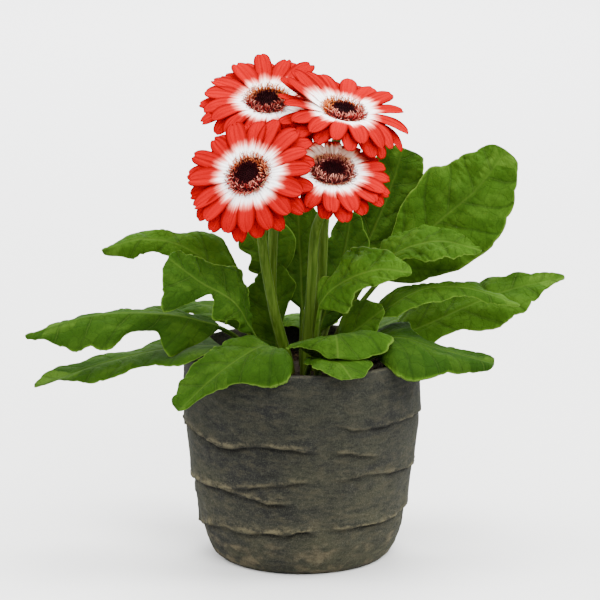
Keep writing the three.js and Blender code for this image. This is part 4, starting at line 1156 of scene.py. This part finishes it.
def make_stem(index, bloom, material):
    form = Form()
    bottom, before = to_world(bloom, [[0, 0, CUP_TOP - CUP_DEPTH], [0, 0, CUP_TOP - CUP_DEPTH - 9]])
    curve = stalk_curve(bloom["foot"], [*bloom["via"], before, bottom])
    share = np.linspace(0.002, 1, STEM_ROWS)
    path = curve.at(share)
    radius = lerp(STEM_RADIUS, STEM_TOP_RADIUS, share) * (1 + 0.03 * noise_line(share * 9, 60 + index))
    shell = tubes(path[None], radius[None], STEM_AROUND)[0]
    ridge = 0.5 + 0.5 * np.cos(7 * turns(STEM_AROUND))
    shell = shell + (shell - path[:, None]) * (0.02 * ridge - 0.01)[:, None]
    # the cup's rings start where the stem's last ring starts, so that the surface doesn't twist
    cup = to_world(bloom, turned([(r, CUP_TOP - depth) for depth, r in CUP[1:]], STEM_AROUND))
    first = np.argmin(np.linalg.norm(cup[0] - shell[-1, 0], axis=1))
    cup = np.roll(cup, -first, 1)
    if np.linalg.norm(cup[0, 1] - shell[-1, 1]) > np.linalg.norm(cup[0, -1] - shell[-1, 1]):
        cup = np.roll(cup[:, ::-1], 1, 1)
    marks = [*stack(share[:, None], ridge, 0.0, 0.0), *stack(1.0, 0 * cup[..., 0], 1.0, 0.0)]
    form.lofts([*shell, *cup], curve.at(0.0), to_world(bloom, [0, 0, CUP_TOP]), marks)
    for row, bracts in enumerate(BRACT_ROWS):
        add_bracts(form, bloom, index, row, bracts)

    i = np.arange(STEM_HAIRS)
    share = lerp(0.08, 0.99, chance(i, 53))
    along = curve.along(share)
    side = unit(np.cross(along, [0.0, 1.0, 0.0]))
    ways = spun(side, np.cross(along, side), 2 * np.pi * chance(i, 54 + index))
    roots = curve.at(share) + ways * (lerp(STEM_RADIUS, STEM_TOP_RADIUS, share) * 0.97)[:, None]
    ways = unit(ways + 0.5 * along * (chance(i, 55) - 0.3)[:, None])
    hairs(form, roots, ways, STEM_HAIR_LENGTH, [0.9, 1, 0, 0], 56)
    form.piece("scape_" + bloom["name"], "stem_" + bloom["name"], "stem", material)


# ------------ the plant

make_pot(clay_material())
make_soil(soil_material())
make_crown(crown_material())
foliage = leaf_material()
for number, leaf in enumerate(LEAVES):
    make_leaf(number, leaf, foliage)
green, coral, maroon = stem_material(), petal_material(), disc_material()
for number, bloom in enumerate(BLOOMS):
    make_stem(number, bloom, green)
    make_petals(bloom, coral)
    make_disc(number, bloom, maroon)

# ------------ floor, light and camera

FLOOR_SIZE = 14.0
FLOOR_CELLS = 16
FLOOR_HEIGHT = -0.0004


def make_floor():
    line = np.linspace(-FLOOR_SIZE / 2, FLOOR_SIZE / 2, FLOOR_CELLS + 1)
    points = [(x, y, FLOOR_HEIGHT) for y in line for x in line]
    n = FLOOR_CELLS + 1
    faces = [(r * n + c, r * n + c + 1, (r + 1) * n + c + 1, (r + 1) * n + c)
             for r in range(FLOOR_CELLS) for c in range(FLOOR_CELLS)]
    mesh = bpy.data.meshes.new("studio_floor")
    mesh.from_pydata(points, [], faces)
    p = Paint("studio_floor", Roughness=0.8, Specular_IOR_Level=0.1)
    # painted light and shade: the floor is darker round and in front of the plant and lighter far behind it
    away = p.step(p.node("SeparateXYZ", {0: p.place()}, 1), 0.2, 2.0)
    grey = p.mix(away, rgb(205, 205, 203), rgb(222, 222, 222))
    mesh.materials.append(p.finish(Base_Color=grey))
    placed("studio_floor", mesh)


def area_light(name, place, aim, size, power):
    lamp = bpy.data.lights.new(name, "AREA")
    lamp.shape = "DISK"
    lamp.size = size
    lamp.energy = power
    obj = placed(name, lamp)
    obj.location = place
    obj.rotation_euler = (Vector(aim) - Vector(place)).to_track_quat("-Z", "Y").to_euler()


make_floor()
area_light("key", (0.6, -1.75, 1.75), (0, 0, 0.2), 1.5, 88)
area_light("left", (-2.0, 0.1, 1.2), (0, 0, 0.15), 1.6, 68)
area_light("right", (2.0, 0.0, 1.3), (0, 0, 0.15), 1.6, 90)
area_light("top", (0.1, 0.1, 1.9), (0, 0, 0.15), 1.1, 66)
area_light("backdrop", (0, 3.2, 2.4), (0, 2.8, 0), 3.0, 345)

world = bpy.data.worlds.new("studio")
world.use_nodes = True
world.node_tree.nodes["Background"].inputs[0].default_value = (0.96, 0.97, 1.0, 1)
world.node_tree.nodes["Background"].inputs[1].default_value = 1.75
bpy.context.scene.world = world

AIM = Vector((-0.0013, 0, 0.164))
CAMERA_DISTANCE = 1.8
CAMERA_ELEVATION = math.radians(12.2)
VIEW_WIDTH = 0.3798  # how much the image takes in across the plant

lens = bpy.data.cameras.new("camera")
lens.sensor_width = 36
lens.lens = lens.sensor_width * CAMERA_DISTANCE / VIEW_WIDTH
camera = placed("camera", lens)
back = Vector((0, -math.cos(CAMERA_ELEVATION), math.sin(CAMERA_ELEVATION)))
camera.location = AIM + back * CAMERA_DISTANCE
camera.rotation_euler = (-back).to_track_quat("-Z", "Y").to_euler()
bpy.context.scene.camera = camera
